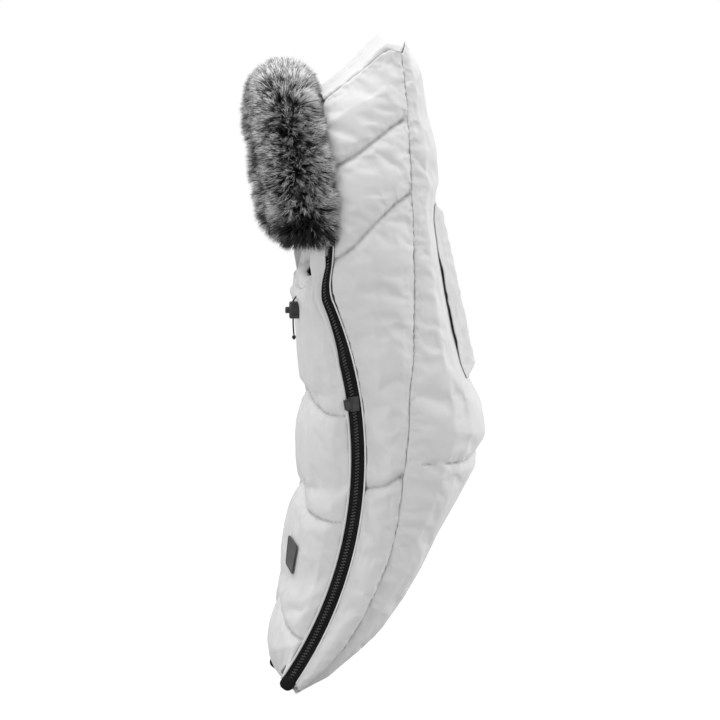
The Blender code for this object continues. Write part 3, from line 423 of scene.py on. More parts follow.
def gathered(piece, lines, edge_spots):
    """Draws the threads into the fine cloth: a sharp crease with small puckers along it, and a mask that darkens the
    colour along the line, partly as painted shade in the crease.
    """
    tree = BVHTree.FromObject(piece, bpy.context.evaluated_depsgraph_get())
    line_spots = []
    for side, line in lines:
        line_spots += line_on_cloth(tree, line, side, 24)
    points = points_of(piece)
    normals = normals_of(piece)
    outward = np.clip(outwardness(points, normals) * 3 - 0.6, 0.0, 1.0) * freedom(points)
    to_line = distance_to(points, line_spots)
    to_edge = distance_to(points, edge_spots)
    crease = 0.0024 * np.exp(-(to_line / 0.0021) ** 2)
    near = np.exp(-to_line / 0.0060) + 1.2 * np.exp(-to_edge / 0.0065)
    pucker = np.array([noise.noise(Vector((x * 60.0, y * 260.0, z * 210.0))) for x, y, z in points]) * 0.0017
    move_points(piece, points + normals * ((pucker * near - crease) * outward)[:, None])
    # The mask that darkens the colour along each quilting line, partly as painted shade in its crease.
    stitch_shade_mask = piece.data.attributes.new("stitch_shade", "FLOAT", "POINT")
    stitch_shade_mask.data.foreach_set("value", np.exp(-(to_line / 0.0014) ** 2) * 0.75 * outward)


def run_cloth(pieces, rests, cap):
    """Steps all the simulations together, holds each point within cap of its start and applies them."""
    for step in range(1, 21):
        bpy.context.scene.frame_set(step)
    for piece, (rest, lines, edge_spots) in zip(pieces, rests):
        bpy.ops.object.select_all(action="DESELECT")
        piece.select_set(True)
        bpy.context.view_layer.objects.active = piece
        bpy.ops.object.modifier_apply(modifier="swell")
        moved = points_of(piece) - rest
        length = np.linalg.norm(moved, axis=1)
        share = np.minimum(1.0, cap / np.maximum(length, 1e-9)) * freedom(rest)
        move_points(piece, rest + moved * share[:, None])
        piece.vertex_groups.clear()
        piece.modifiers.new("fine", "SUBSURF").levels = 1
        piece.modifiers["fine"].render_levels = 1
        bpy.ops.object.modifier_apply(modifier="fine")
        gathered(piece, lines, edge_spots)
        bpy.ops.object.shade_smooth()
    bpy.context.scene.frame_set(1)


def on_side(line, sign):
    """A line read on the child's left as points in space, also for the right with sign -1."""
    return [Vector((sign * x, y, z)) for x, y, z in line]


def filled_in(line):
    """The same line with ten points for each of its steps."""
    return [a.lerp(b, step / 10) for a, b in zip(line, line[1:]) for step in range(10)]


side_seam = [(0.125, -0.0866, 0.3385), (0.140, -0.0799, 0.272), (0.155, -0.0759, 0.176),
             (0.163, -0.0726, 0.080), (0.168, -0.0731, -0.030), (0.170, -0.0748, -0.085),
             (0.170, -0.0803, -0.126), (0.170, -0.0803, -0.181), (0.165, -0.088, -0.237),
             (0.160, -0.0902, -0.265), (0.143, -0.1064, -0.349), (0.122, -0.1594, -0.461),
             (0.095, -0.2230, -0.529)]
top_seam = [(0.118, -0.1936, 0.2774), (0.121, -0.159, 0.305), (0.124, -0.118, 0.3315),
            (0.125, -0.0866, 0.3385)]
left_seams = filled_in(on_side(side_seam, 1.0)) + filled_in(on_side(top_seam, 1.0))
right_seams = filled_in(on_side(side_seam, -1.0)) + filled_in(on_side(top_seam, -1.0))
shell_panels = {"left_side_cloth": (["side_panel_left"], "side", side_lines, left_seams),
                "right_side_cloth": (["side_panel_right"], "side", side_lines, right_seams),
                "back_cloth": (["back_panel", "foot_back_panel"], "back", back_lines,
                               left_seams + right_seams),
                "hood_cloth": (["hood_top_panel"], "back", [], left_seams + right_seams)}
sewn_pieces = []
rest_shapes = []
for cloth_name, (panels, drop_from, quilting, seams) in shell_panels.items():
    cloth_piece = merged_copy(cloth_name, *panels)
    lines = [(drop_from, line) for line in quilting]
    rest_shapes.append(prepare_cloth(cloth_piece, lines, seams, 0.022, 3.0))
    cloth_piece.data.materials.append(grey_nylon)
    sewn_pieces.append(cloth_piece)


# Front cover: one padded piece of the same cloth, quilted across in three places. It is unzipped
# down to the sliders, and its upper part folds forward there in one smooth bend.
cover_lines = [("front", [(0.0, -0.120), (0.060, -0.131), (0.100, -0.140), (0.130, -0.148), (0.150, -0.150)]),
               ("front", [(0.0, -0.2456), (0.050, -0.262), (0.090, -0.284), (0.120, -0.292), (0.145, -0.299)]),
               ("front", [(0.0, -0.4057), (0.050, -0.425), (0.090, -0.443), (0.118, -0.4565)])]
cover_cloth = merged_copy("cover_cloth", "upper_cover", "lower_cover")
rest_shapes.append(prepare_cloth(cover_cloth, cover_lines, [], 0.022, 3.0))
cover_cloth.data.materials.append(grey_nylon)
sewn_pieces.append(cover_cloth)
run_cloth(sewn_pieces, rest_shapes, 0.0038)
for cloth_piece, (panels, drop_from, quilting, seams) in zip(sewn_pieces, shell_panels.values()):
    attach(cloth_piece, "shell")
    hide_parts(*panels)
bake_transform(cover_cloth)
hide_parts("upper_cover", "lower_cover")


# Linings: grey fleece, 4 mm thick, behind every padded panel of the shell, the hood and the cover.
# Its pile is short and matted, sewn in at the panel edges and loose between them.
def matted(name, dark, light, pile_size, pile_depth):
    """A fleece or fur ground: darker in the pile's hollows as painted shade and pale on the tuft tops, with a deep
    matt relief.
    """
    finish = bpy.data.materials.new(name)
    finish.use_nodes = True
    tree = finish.node_tree
    shader = tree.nodes["Principled BSDF"]
    shader.inputs["Sheen Weight"].default_value = 0.35
    shader.inputs["Sheen Roughness"].default_value = 0.6
    shader.inputs["Specular IOR Level"].default_value = 0.15
    place = tree.nodes.new("ShaderNodeTexCoord")
    tufts_and_shade = tree.nodes.new("ShaderNodeTexNoise")
    tufts_and_shade.inputs["Scale"].default_value = pile_size
    tufts_and_shade.inputs["Detail"].default_value = 5.0
    tufts_and_shade.inputs["Distortion"].default_value = 1.2
    tint = tree.nodes.new("ShaderNodeValToRGB")
    tint.color_ramp.elements[0].position = 0.35
    tint.color_ramp.elements[0].color = (*dark, 1.0)
    tint.color_ramp.elements[1].position = 0.68
    tint.color_ramp.elements[1].color = (*light, 1.0)
    rough = tree.nodes.new("ShaderNodeMapRange")
    rough.inputs["To Min"].default_value = 1.0
    rough.inputs["To Max"].default_value = 0.85
    relief = tree.nodes.new("ShaderNodeBump")
    relief.inputs["Distance"].default_value = pile_depth
    tree.links.new(place.outputs["Object"], tufts_and_shade.inputs["Vector"])
    # The tint follows the pile's relief: painted shade in its hollows, paler on the tuft tops.
    tree.links.new(tufts_and_shade.outputs["Fac"], tint.inputs["Fac"])
    tree.links.new(tint.outputs["Color"], shader.inputs["Base Color"])
    tree.links.new(tufts_and_shade.outputs["Fac"], rough.inputs["Value"])
    tree.links.new(rough.outputs["Result"], shader.inputs["Roughness"])
    tree.links.new(tufts_and_shade.outputs["Fac"], relief.inputs["Height"])
    tree.links.new(relief.outputs["Normal"], shader.inputs["Normal"])
    return finish


grey_fleece = matted("grey_fleece", (0.13, 0.13, 0.135), (0.34, 0.345, 0.35), 260.0, 0.0016)


def subdivided(piece, cuts, pile, pile_size):
    """Cuts every face of the piece and lifts its surface by a fine pile."""
    bpy.ops.object.select_all(action="DESELECT")
    piece.select_set(True)
    bpy.context.view_layer.objects.active = piece
    bpy.ops.object.mode_set(mode="EDIT")
    bpy.ops.mesh.select_all(action="SELECT")
    bpy.ops.mesh.subdivide(number_cuts=cuts)
    bpy.ops.object.mode_set(mode="OBJECT")
    points = settled(points_of(piece))
    lift = np.array([noise.noise(Vector(p) * pile_size) for p in points]) * pile
    move_points(piece, points + normals_of(piece) * lift[:, None])
    bpy.ops.object.shade_smooth()


def facing_depth(height):
    """How far back the nylon facing behind each zip reaches, at a height."""
    return float(np.interp(height, (-0.52, -0.40, -0.25, -0.12, 0.0, 0.30),
                           (-0.195, -0.155, -0.130, -0.118, -0.140, -0.165)))


for lining_name, source, body in (("shell_fleece", "shell_lining", "shell"),
                                  ("hood_fleece", "hood_lining", "shell"),
                                  ("cover_fleece", "lower_cover_lining", "shell"),
                                  ("flap_fleece", "upper_cover_lining", "upper_cover")):
    fleece = merged_copy(lining_name, source)
    subdivided(fleece, 5, 0.0008, 170.0)
    fleece.data.materials.append(grey_fleece)
    fleece.data.materials.append(grey_nylon)
    for face in fleece.data.polygons:
        inset = 0.09 if source == "shell_lining" else 0.128
        at_zip = abs(face.center.x) > inset and face.center.y < facing_depth(face.center.z)
        face.material_index = 1 if at_zip else 0
    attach(fleece, body)
    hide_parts(source)


# Fur trim: long grey and black imitation fur on a knitted ground, folded into a thick roll and sewn
# round the hood's opening. Its hairs clump, fan out from the roll and hang over its lower ends.
trim_spots = [Vector((0.150, -0.2140, 0.099)), Vector((0.153, -0.2215, 0.140)), Vector((0.150, -0.2305, 0.190)),
              Vector((0.139, -0.2385, 0.235)), Vector((0.115, -0.2415, 0.269)), Vector((0.065, -0.2405, 0.2875)),
              Vector((0.0, -0.2400, 0.2930))]
roll_depth = 0.028
roll_height = 0.015
hair_length = 0.0285
hairs_each = 19400


def trim_line(share):
    """Middle of the fur roll, from the left end at 0 over the crown to the right end at 1."""
    mirror = share > 0.5
    at = min(share, 1.0 - share) * 2 * (len(trim_spots) - 1)
    step = min(int(at), len(trim_spots) - 2)
    t = at - step
    before = trim_spots[max(step - 1, 0)]
    a, b = trim_spots[step], trim_spots[step + 1]
    if step + 2 < len(trim_spots):
        after = trim_spots[step + 2]
    else:
        after = Vector((-trim_spots[-2].x, trim_spots[-2].y, trim_spots[-2].z))
    spot = 0.5 * ((2 * a) + (b - before) * t + (2 * before - 5 * a + 4 * b - after) * t ** 2
                  + (3 * a - before - 3 * b + after) * t ** 3)
    return Vector((-spot.x, spot.y, spot.z)) if mirror else spot


def trim_frame(share):
    """Middle, run direction and outward direction of the roll."""
    run = (trim_line(min(share + 0.01, 1.0)) - trim_line(max(share - 0.01, 0.0))).normalized()
    return trim_line(share), run, Vector((0.0, -1.0, 0.0)).cross(run).normalized()


bpy.ops.object.select_all(action="DESELECT")
bpy.ops.mesh.primitive_grid_add(x_subdivisions=60, y_subdivisions=20, size=2.0)
fur_ground = bpy.context.object
fur_ground.name = "fur_ground"
ground_points = []
for x, y, _ in points_of(fur_ground):
    share = (x + 1) / 2
    spot, run, outward = trim_frame(share)
    close = math.sqrt(max(0.0, 1.0 - max(0.0, abs(x) - 0.94) ** 2 / 0.06 ** 2)) * 0.98 + 0.02
    deep = (roll_depth - 0.006 * math.sin(math.pi * share) ** 2) * close
    ground_points.append(spot + Vector((0.0, math.cos(y * math.pi) * deep, 0.0))
                         + outward * math.sin(y * math.pi) * roll_height * close)
move_points(fur_ground, np.array([tuple(p) for p in ground_points]))
bpy.ops.object.mode_set(mode="EDIT")
bpy.ops.mesh.select_all(action="SELECT")
bpy.ops.mesh.remove_doubles(threshold=0.0001)
bpy.ops.mesh.fill_holes(sides=0)
bpy.ops.mesh.normals_make_consistent(inside=False)
bpy.ops.object.mode_set(mode="OBJECT")
bpy.ops.object.shade_smooth()
fur_ground.data.materials.append(matted("fur_ground", (0.006, 0.006, 0.006), (0.03, 0.03, 0.032), 400.0, 0.002))

hair_finish = bpy.data.materials.new("fur_hair")
hair_finish.use_nodes = True
hair_tree = hair_finish.node_tree
hair_shader = hair_tree.nodes["Principled BSDF"]
hair_shader.inputs["Specular IOR Level"].default_value = 0.35
hair_shader.inputs["Roughness"].default_value = 0.5
hair_map = hair_tree.nodes.new("ShaderNodeUVMap")
hair_map.uv_map = "hair"
hair_axes = hair_tree.nodes.new("ShaderNodeSeparateXYZ")
dark_hair = hair_tree.nodes.new("ShaderNodeValToRGB")
dark_hair.color_ramp.elements[0].color = (0.004, 0.004, 0.0045, 1.0)
dark_hair.color_ramp.elements[1].color = (0.022, 0.022, 0.023, 1.0)
light_hair = hair_tree.nodes.new("ShaderNodeValToRGB")
light_hair.color_ramp.elements[0].position = 0.25
light_hair.color_ramp.elements[0].color = (0.012, 0.012, 0.013, 1.0)
light_hair.color_ramp.elements[1].position = 0.92
light_hair.color_ramp.elements[1].color = (0.93, 0.93, 0.93, 1.0)
hair_blend = hair_tree.nodes.new("ShaderNodeMix")
hair_blend.data_type = "RGBA"
hair_tree.links.new(hair_map.outputs["UV"], hair_axes.inputs["Vector"])
hair_tree.links.new(hair_axes.outputs["Y"], dark_hair.inputs["Fac"])
hair_tree.links.new(hair_axes.outputs["Y"], light_hair.inputs["Fac"])
hair_tree.links.new(hair_axes.outputs["X"], hair_blend.inputs["Factor"])
hair_tree.links.new(dark_hair.outputs["Color"], hair_blend.inputs["A"])
hair_tree.links.new(light_hair.outputs["Color"], hair_blend.inputs["B"])
hair_tree.links.new(hair_blend.outputs["Result"], hair_shader.inputs["Base Color"])


def hair_piece(name, share_from, share_to, chance):
    """One stretch of the trim's hairs, each a closed three-sided spike bent over at its tip."""
    corners = np.zeros((hairs_each, 7, 3))
    tone = np.zeros(hairs_each)
    for index in range(hairs_each):
        share = share_from + (share_to - share_from) * chance.random()
        spot, run, outward = trim_frame(share)
        angle = chance.random() * 2 * math.pi
        deep = roll_depth - 0.006 * math.sin(math.pi * share) ** 2
        flat = Vector((0.0, math.cos(angle) * deep, 0.0)) + outward * math.sin(angle) * roll_height
        even = Vector((0.0, math.cos(angle), 0.0)) + outward * math.sin(angle)
        end = max(0.0, 0.03 - share) + max(0.0, share - 0.97)
        way = even + run * (-1.6 if share < 0.5 else 1.6) * end / 0.03
        root = spot + flat * (1.0 - 12.0 * end)
        coarse = noise.noise_vector(root * 45.0)
        tuft = noise.noise_vector(root * 150.0)
        way = (way + coarse * 0.45 + tuft * 0.45).normalized()
        stray = Vector((chance.random() - 0.5, chance.random() - 0.5, chance.random() - 0.5))
        length = hair_length * (0.80 + 0.25 * chance.random() + 0.18 * coarse.x)
        droop = Vector((0.0, 0.0, -1.0))
        middle = root + (way + stray * 0.18 + droop * 0.05).normalized() * length * 0.5
        tip = middle + (way + stray * 0.45 + tuft * 0.25 + droop * 0.25).normalized() * length * 0.5
        side = way.orthogonal().normalized()
        other = way.cross(side)
        thick = 0.00050 + 0.00020 * chance.random()
        for corner in range(3):
            turn = corner * 2 * math.pi / 3
            off = side * math.cos(turn) + other * math.sin(turn)
            corners[index, corner] = root + off * thick
            corners[index, corner + 3] = middle + off * thick * 0.8
        corners[index, 6] = tip
        # Each hair's tone: much lighter on the back of the roll and a little lighter on its front, which is painted
        # light, plus tone that differs at random and darker hairs at the parting.
        side_light_and_tone = 0.26 + 0.52 * max(0.0, math.cos(angle)) + 0.10 * max(0.0, -math.cos(angle))
        parting = math.exp(-((root.z - 0.112) / 0.014) ** 2 - ((root.y + 0.222) / 0.016) ** 2)
        side_light_and_tone += 0.6 * noise.noise(root * 60.0) + 1.9 * noise.noise(root * 300.0)
        side_light_and_tone += 0.7 * (chance.random() - 0.5) - 1.3 * parting
        tone[index] = min(1.0, max(0.0, 0.42 + 1.7 * (side_light_and_tone - 0.42)))
    pattern = [(0, 1, 4, 3), (1, 2, 5, 4), (2, 0, 3, 5), (3, 4, 6), (4, 5, 6), (5, 3, 6), (2, 1, 0)]
    faces = [tuple(corner + 7 * index for corner in face) for index in range(hairs_each) for face in pattern]
    mesh = bpy.data.meshes.new(name)
    mesh.from_pydata(corners.reshape(-1, 3).tolist(), [], faces)
    along = np.array([0.0, 0.0, 0.0, 0.5, 0.5, 0.5, 1.0])
    used = np.zeros(len(mesh.loops), dtype=np.int32)
    mesh.loops.foreach_get("vertex_index", used)
    hair_uv = mesh.uv_layers.new(name="hair")
    hair_uv.data.foreach_set("uv", np.column_stack([tone[used // 7], along[used % 7]]).ravel())
    piece = bpy.data.objects.new(name, mesh)
    bpy.context.scene.collection.objects.link(piece)
    mesh.materials.append(hair_finish)
    mesh.shade_smooth()
    return piece


strand_chance = random.Random(7)
fur_pieces = [fur_ground]
for stretch in range(4):
    fur_pieces.append(hair_piece("fur_stretch_" + str(stretch + 1), stretch / 4, (stretch + 1) / 4, strand_chance))
for fur_piece in fur_pieces:
    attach(fur_piece, "shell")
    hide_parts("fur_trim")


# Zips: one up each side, a woven black tape on either half with two interlocking rows of small
# moulded teeth. The tapes are sewn under a narrow rolled binding of the shell cloth.
zip_lean = math.radians(4.9)
zip_middle = np.array([0.138, -0.6906, -0.211])
zip_radius = 0.543
zip_top_turn = math.radians(23.5)
zip_length = 0.5468
zip_above = 0.0786
ease_radius = 0.100
ease_turn = math.radians(21.0)
cover_top_run = -0.0647
slider_run = 0.1431
tape_edge = 0.0098
shell_edge = 0.0102
tooth_pitch = 0.0043


def narrowed(run):
    """How much of the zip's width shows: above the slider the cover's edge rolls over its tape."""
    return np.interp(run, (-0.0786, -0.0640, -0.0506, -0.0267, -0.0039, 0.0189, 0.0417, 0.0645, 0.0870),
                     (0.62, 0.54, 0.48, 0.58, 0.70, 0.73, 0.79, 0.87, 1.0))


def cover_hem(run):
    """Width of cloth beside the cover's tape, which fans out below the fur to close the corner."""
    return 0.0120 + 0.0090 * np.clip((-0.026 - run) / 0.03, 0.0, 1.0)


def on_zip(run, across, lift, sign):
    """Points of the zip: run down it, across it towards the back, lift off the cloth."""
    run, across, lift = np.broadcast_arrays(np.asarray(run, float), np.asarray(across, float),
                                            np.asarray(lift, float))
    across = shell_edge - (shell_edge - across) * narrowed(run)
    up = np.array([math.sin(zip_lean), 0.0, math.cos(zip_lean)])
    out = np.array([math.cos(zip_lean), 0.0, -math.sin(zip_lean)])
    turn = zip_top_turn - np.maximum(run, 0.0) / zip_radius
    ease = np.clip(-run / ease_radius, 0.0, ease_turn)
    before = np.outer(np.cos(turn), (0.0, 1.0, 0.0)) + np.outer(np.sin(turn), up)
    side = np.outer(np.cos(turn - ease), (0.0, 1.0, 0.0)) + np.outer(np.sin(turn - ease), up)
    spots = zip_middle + before * (zip_radius + ease_radius) - side * ease_radius
    spots += np.cross(out, side) * np.maximum(0.0, -run - ease_radius * ease)[:, None]
    spots += side * across[:, None] + out * lift[:, None]
    spots[:, 0] *= sign
    return settled(spots)


def chain_middle(run):
    """How far the two rows of teeth lie forward of the tapes' middle: most at the zip's top."""
    return -0.0008 - 0.0024 * np.clip((slider_run - run) / (slider_run - cover_top_run), 0.0, 1.0)


def woven_strip(name, run_from, run_to, edge_a, edge_b, height, thickness, sign):
    """A strip along the zip between two edges given as functions of the run, arched by height."""
    bpy.ops.object.select_all(action="DESELECT")
    bpy.ops.mesh.primitive_grid_add(x_subdivisions=int((run_to - run_from) / 0.004), y_subdivisions=6, size=2.0)
    piece = bpy.context.object
    piece.name = name
    flat = points_of(piece)
    run = run_from + (run_to - run_from) * (flat[:, 0] + 1) / 2
    part = (flat[:, 1] + 1) / 2
    across = edge_a(run) * (1 - part) + edge_b(run) * part
    move_points(piece, on_zip(run, across, height[0] + height[1] * np.sin(np.pi * part), sign))
    body = piece.modifiers.new("thick", "SOLIDIFY")
    body.thickness = thickness
    body.offset = 0.0
    bpy.ops.object.modifier_apply(modifier="thick")
    bpy.ops.object.mode_set(mode="EDIT")
    bpy.ops.mesh.select_all(action="SELECT")
    bpy.ops.mesh.normals_make_consistent(inside=False)
    bpy.ops.object.mode_set(mode="OBJECT")
    bpy.ops.object.shade_smooth_by_angle(angle=math.radians(50))
    return piece


def tooth_row(name, run_from, run_to, offset, sign):
    """A row of rounded teeth, one mesh copied along the zip at every pitch."""
    bpy.ops.object.select_all(action="DESELECT")
    bpy.ops.mesh.primitive_uv_sphere_add(segments=8, ring_count=5, radius=1.0)
    sample = bpy.context.object
    knob = points_of(sample) * (0.00115, 0.0017, 0.0008)
    knob_faces = [tuple(face.vertices) for face in sample.data.polygons]
    bpy.data.objects.remove(sample, do_unlink=True)
    runs = np.arange(run_from, run_to, tooth_pitch)
    spots = []
    faces = []
    for number, start in enumerate(runs):
        run = start + knob[:, 0]
        spots.append(on_zip(run, chain_middle(run) + offset + knob[:, 1], 0.0009 + knob[:, 2], sign))
        faces += [tuple(corner + number * len(knob) for corner in face) for face in knob_faces]
    mesh = bpy.data.meshes.new(name)
    mesh.from_pydata(np.concatenate(spots).tolist(), [], faces)
    piece = bpy.data.objects.new(name, mesh)
    bpy.context.scene.collection.objects.link(piece)
    bpy.context.view_layer.objects.active = piece
    piece.select_set(True)
    bpy.ops.object.mode_set(mode="EDIT")
    bpy.ops.mesh.select_all(action="SELECT")
    bpy.ops.mesh.normals_make_consistent(inside=False)
    bpy.ops.object.mode_set(mode="OBJECT")
    mesh.shade_smooth()
    return piece


def grain_relief():
    """Node group: the fine grain of moulded plastic and rubber, and a mask of rubbed places."""
    group = bpy.data.node_groups.new("moulded_grain", "ShaderNodeTree")
    group.interface.new_socket("Grain", in_out="INPUT", socket_type="NodeSocketFloat")
    group.interface.new_socket("Height", in_out="OUTPUT", socket_type="NodeSocketFloat")
    group.interface.new_socket("Rubbed", in_out="OUTPUT", socket_type="NodeSocketFloat")
    enter = group.nodes.new("NodeGroupInput")
    leave = group.nodes.new("NodeGroupOutput")
    place = group.nodes.new("ShaderNodeTexCoord")
    pebble = group.nodes.new("ShaderNodeTexVoronoi")
    cloud = group.nodes.new("ShaderNodeTexNoise")
    cloud.inputs["Scale"].default_value = 90.0
    cloud.inputs["Detail"].default_value = 4.0
    group.links.new(place.outputs["Object"], pebble.inputs["Vector"])
    group.links.new(place.outputs["Object"], cloud.inputs["Vector"])
    group.links.new(enter.outputs["Grain"], pebble.inputs["Scale"])
    group.links.new(pebble.outputs["Distance"], leave.inputs["Height"])
    group.links.new(cloud.outputs["Fac"], leave.inputs["Rubbed"])
    return group


grain_group = grain_relief()


def moulded(name, dark, light, roughness, grain_size, grain_depth, metal=0.0):
    """A moulded or cast finish: a fine grain, and rubbed places that are paler and smoother."""
    finish = bpy.data.materials.new(name)
    finish.use_nodes = True
    tree = finish.node_tree
    shader = tree.nodes["Principled BSDF"]
    shader.inputs["Metallic"].default_value = metal
    grain = tree.nodes.new("ShaderNodeGroup")
    grain.node_tree = grain_group
    grain.inputs["Grain"].default_value = grain_size
    tint = tree.nodes.new("ShaderNodeValToRGB")
    tint.color_ramp.elements[0].position = 0.35
    tint.color_ramp.elements[0].color = (*dark, 1.0)
    tint.color_ramp.elements[1].position = 0.7
    tint.color_ramp.elements[1].color = (*light, 1.0)
    gloss = tree.nodes.new("ShaderNodeMapRange")
    gloss.inputs["To Min"].default_value = roughness + 0.08
    gloss.inputs["To Max"].default_value = roughness - 0.08
    relief = tree.nodes.new("ShaderNodeBump")
    relief.inputs["Distance"].default_value = grain_depth
    tree.links.new(grain.outputs["Rubbed"], tint.inputs["Fac"])
    tree.links.new(tint.outputs["Color"], shader.inputs["Base Color"])
    tree.links.new(grain.outputs["Rubbed"], gloss.inputs["Value"])
    tree.links.new(gloss.outputs["Result"], shader.inputs["Roughness"])
    tree.links.new(grain.outputs["Height"], relief.inputs["Height"])
    tree.links.new(relief.outputs["Normal"], shader.inputs["Normal"])
    return finish


tape_cloth = woven("tape_cloth", (0.0060, 0.0060, 0.0062), (0.0115, 0.0115, 0.012), 0.8, 1300.0, 0.00025, 60.0, 0.0004, 0.05)
# The shell-side binding is a paler copy of the shell's grey nylon: a painted highlight along the rolled edge.
lit_binding_cloth = woven("lit_binding_cloth", (0.72, 0.725, 0.73), (0.80, 0.80, 0.80), 0.55, 900.0, 0.00010, 40.0, 0.0005, 0.12)
tooth_resin = moulded("tooth_resin", (0.030, 0.030, 0.031), (0.085, 0.085, 0.088), 0.34, 2500.0, 0.00003)
tape_cloth.node_tree.nodes["Principled BSDF"].inputs["Specular IOR Level"].default_value = 0.12


def dress(piece, finish, body, slot, *replaced):
    """Gives a finished piece its material, its body and the nodes that it stands for."""
    piece.data.materials.clear()
    piece.data.materials.append(finish)
    if body:
        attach(piece, body)
    else:
        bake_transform(piece)
    if replaced:
        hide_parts(*replaced)


for label, sign in (("left", 1.0), ("right", -1.0)):
    shell_half = woven_strip("shell_zip_tape_" + label, -zip_above, zip_length, lambda run: chain_middle(run) + 0.0001,
                             lambda run: tape_edge + 0 * run, (-0.0001, 0.0003), 0.0010, sign)
    dress(shell_half, tape_cloth, "shell", "black_tape", "shell_tape_" + label)
    cover_half = woven_strip("cover_zip_tape_" + label, cover_top_run, zip_length, lambda run: -tape_edge + 0 * run,
                             lambda run: chain_middle(run) - 0.0001, (-0.0001, 0.0003), 0.0010, sign)
    dress(cover_half, tape_cloth, "", "black_tape", "upper_cover_tape_" + label, "lower_cover_tape_" + label)
    shell_row = tooth_row("shell_zip_teeth_" + label, -zip_above + 0.006, zip_length - 0.006, 0.0013, sign)
    dress(shell_row, tooth_resin, "shell", "zip_resin", "shell_teeth_" + label)
    cover_row = tooth_row("cover_zip_teeth_" + label, cover_top_run + 0.004 + tooth_pitch / 2, zip_length - 0.006,
                          -0.0013, sign)
    dress(cover_row, tooth_resin, "", "zip_resin", "upper_cover_teeth_" + label, "lower_cover_teeth_" + label)
    back_binding = woven_strip("shell_binding_" + label, -zip_above, zip_length, lambda run: 0.0093 + 0 * run,
                               lambda run: 0.0111 + 0 * run, (0.0004, 0.0008), 0.0010, sign)
    dress(back_binding, lit_binding_cloth, "shell", "shell_cloth")
    cover_binding = woven_strip("cover_binding_" + label, -zip_above, zip_length,
                                lambda run: shell_edge - (shell_edge + cover_hem(run)) / narrowed(run),
                                lambda run: -0.0096 + 0 * run, (0.0005, 0.0011), 0.0010, sign)
    dress(cover_binding, grey_nylon, "", "shell_cloth")


# Zip ends: at the foot both tapes are folded over together and gathered under a lump of the tape,
# and at the top a small moulded stop is pressed on to the shell's tape.
def bevelled_copy(name, source, width):
    piece = merged_copy(name, source)
    rounding = piece.modifiers.new("edges", "BEVEL")
    rounding.width = width
    rounding.segments = 2
    rounding.limit_method = "ANGLE"
    rounding.angle_limit = math.radians(30)
    bpy.ops.object.modifier_apply(modifier="edges")
    bpy.ops.object.shade_smooth_by_angle(angle=math.radians(40))
    return piece


for label, sign in (("left", 1.0), ("right", -1.0)):
    bpy.ops.object.select_all(action="DESELECT")
    bpy.ops.mesh.primitive_uv_sphere_add(segments=40, ring_count=28, radius=1.0)
    zip_end = bpy.context.object
    zip_end.name = "zip_end_" + label
    ball = points_of(zip_end)
    pleats = 1.0 + 0.07 * np.cos(5 * np.arctan2(ball[:, 1], ball[:, 2]) + 3 * ball[:, 0]) * (1 - ball[:, 0] ** 2)
    boxed = np.sign(ball) * np.abs(ball) ** 0.75
    lump = np.where(boxed[:, 0] > 0.0, boxed[:, 0] * 0.0115, boxed[:, 0] * 0.0070)
    move_points(zip_end, on_zip(zip_length - 0.0010 + lump, boxed[:, 1] * 0.0098 * pleats,
                                0.0014 + boxed[:, 2] * 0.0040 * pleats, sign))
    bpy.ops.object.mode_set(mode="EDIT")
    bpy.ops.mesh.select_all(action="SELECT")
    bpy.ops.mesh.normals_make_consistent(inside=False)
    bpy.ops.object.mode_set(mode="OBJECT")
    bpy.ops.object.shade_smooth()
    dress(zip_end, tape_cloth, "shell", "black_tape", "bottom_box_" + label)
    top_stop = bevelled_copy("zip_stop_" + label, "top_stop_" + label, 0.0003)
    move_points(top_stop, settled(points_of(top_stop)))
    dress(top_stop, tooth_resin, "shell", "zip_resin", "top_stop_" + label)


# Sliders: die-cast and painted black, with a short hinged pull on the side of the cover.
painted_metal = moulded("painted_metal", (0.018, 0.018, 0.019), (0.060, 0.060, 0.062), 0.42, 1500.0, 0.00004, 0.35)
for label in ("left", "right"):
    cast_body = bevelled_copy("slider_cast_" + label, "slider_" + label, 0.00035)
    dress(cast_body, painted_metal, "slider_" + label, "slider_metal", "slider_" + label)
    cast_pull = bevelled_copy("pull_cast_" + label, "pull_" + label, 0.0004)
    dress(cast_pull, painted_metal, "pull_" + label, "slider_metal", "pull_" + label)


# Collar: the cover's top edge is turned over a drawstring into a soft casing, which gathers in
# small folds as the string is drawn up.
collar = merged_copy("collar_roll", "collar_casing")
collar.data.remesh_voxel_size = 0.0022
bpy.ops.object.voxel_remesh()
rings = points_of(collar)
gathers = np.array([noise.noise(Vector((x * 130.0, y * 60.0, z * 30.0))) for x, y, z in rings])
swell = 0.0016 + 0.0022 * gathers
move_points(collar, settled(rings + normals_of(collar) * swell[:, None]))
softened = collar.modifiers.new("soft", "SMOOTH")
softened.factor = 0.5
softened.iterations = 4
bpy.ops.object.modifier_apply(modifier="soft")
bpy.ops.object.shade_smooth()
dress(collar, grey_nylon, "upper_cover", "shell_cloth", "collar_casing")


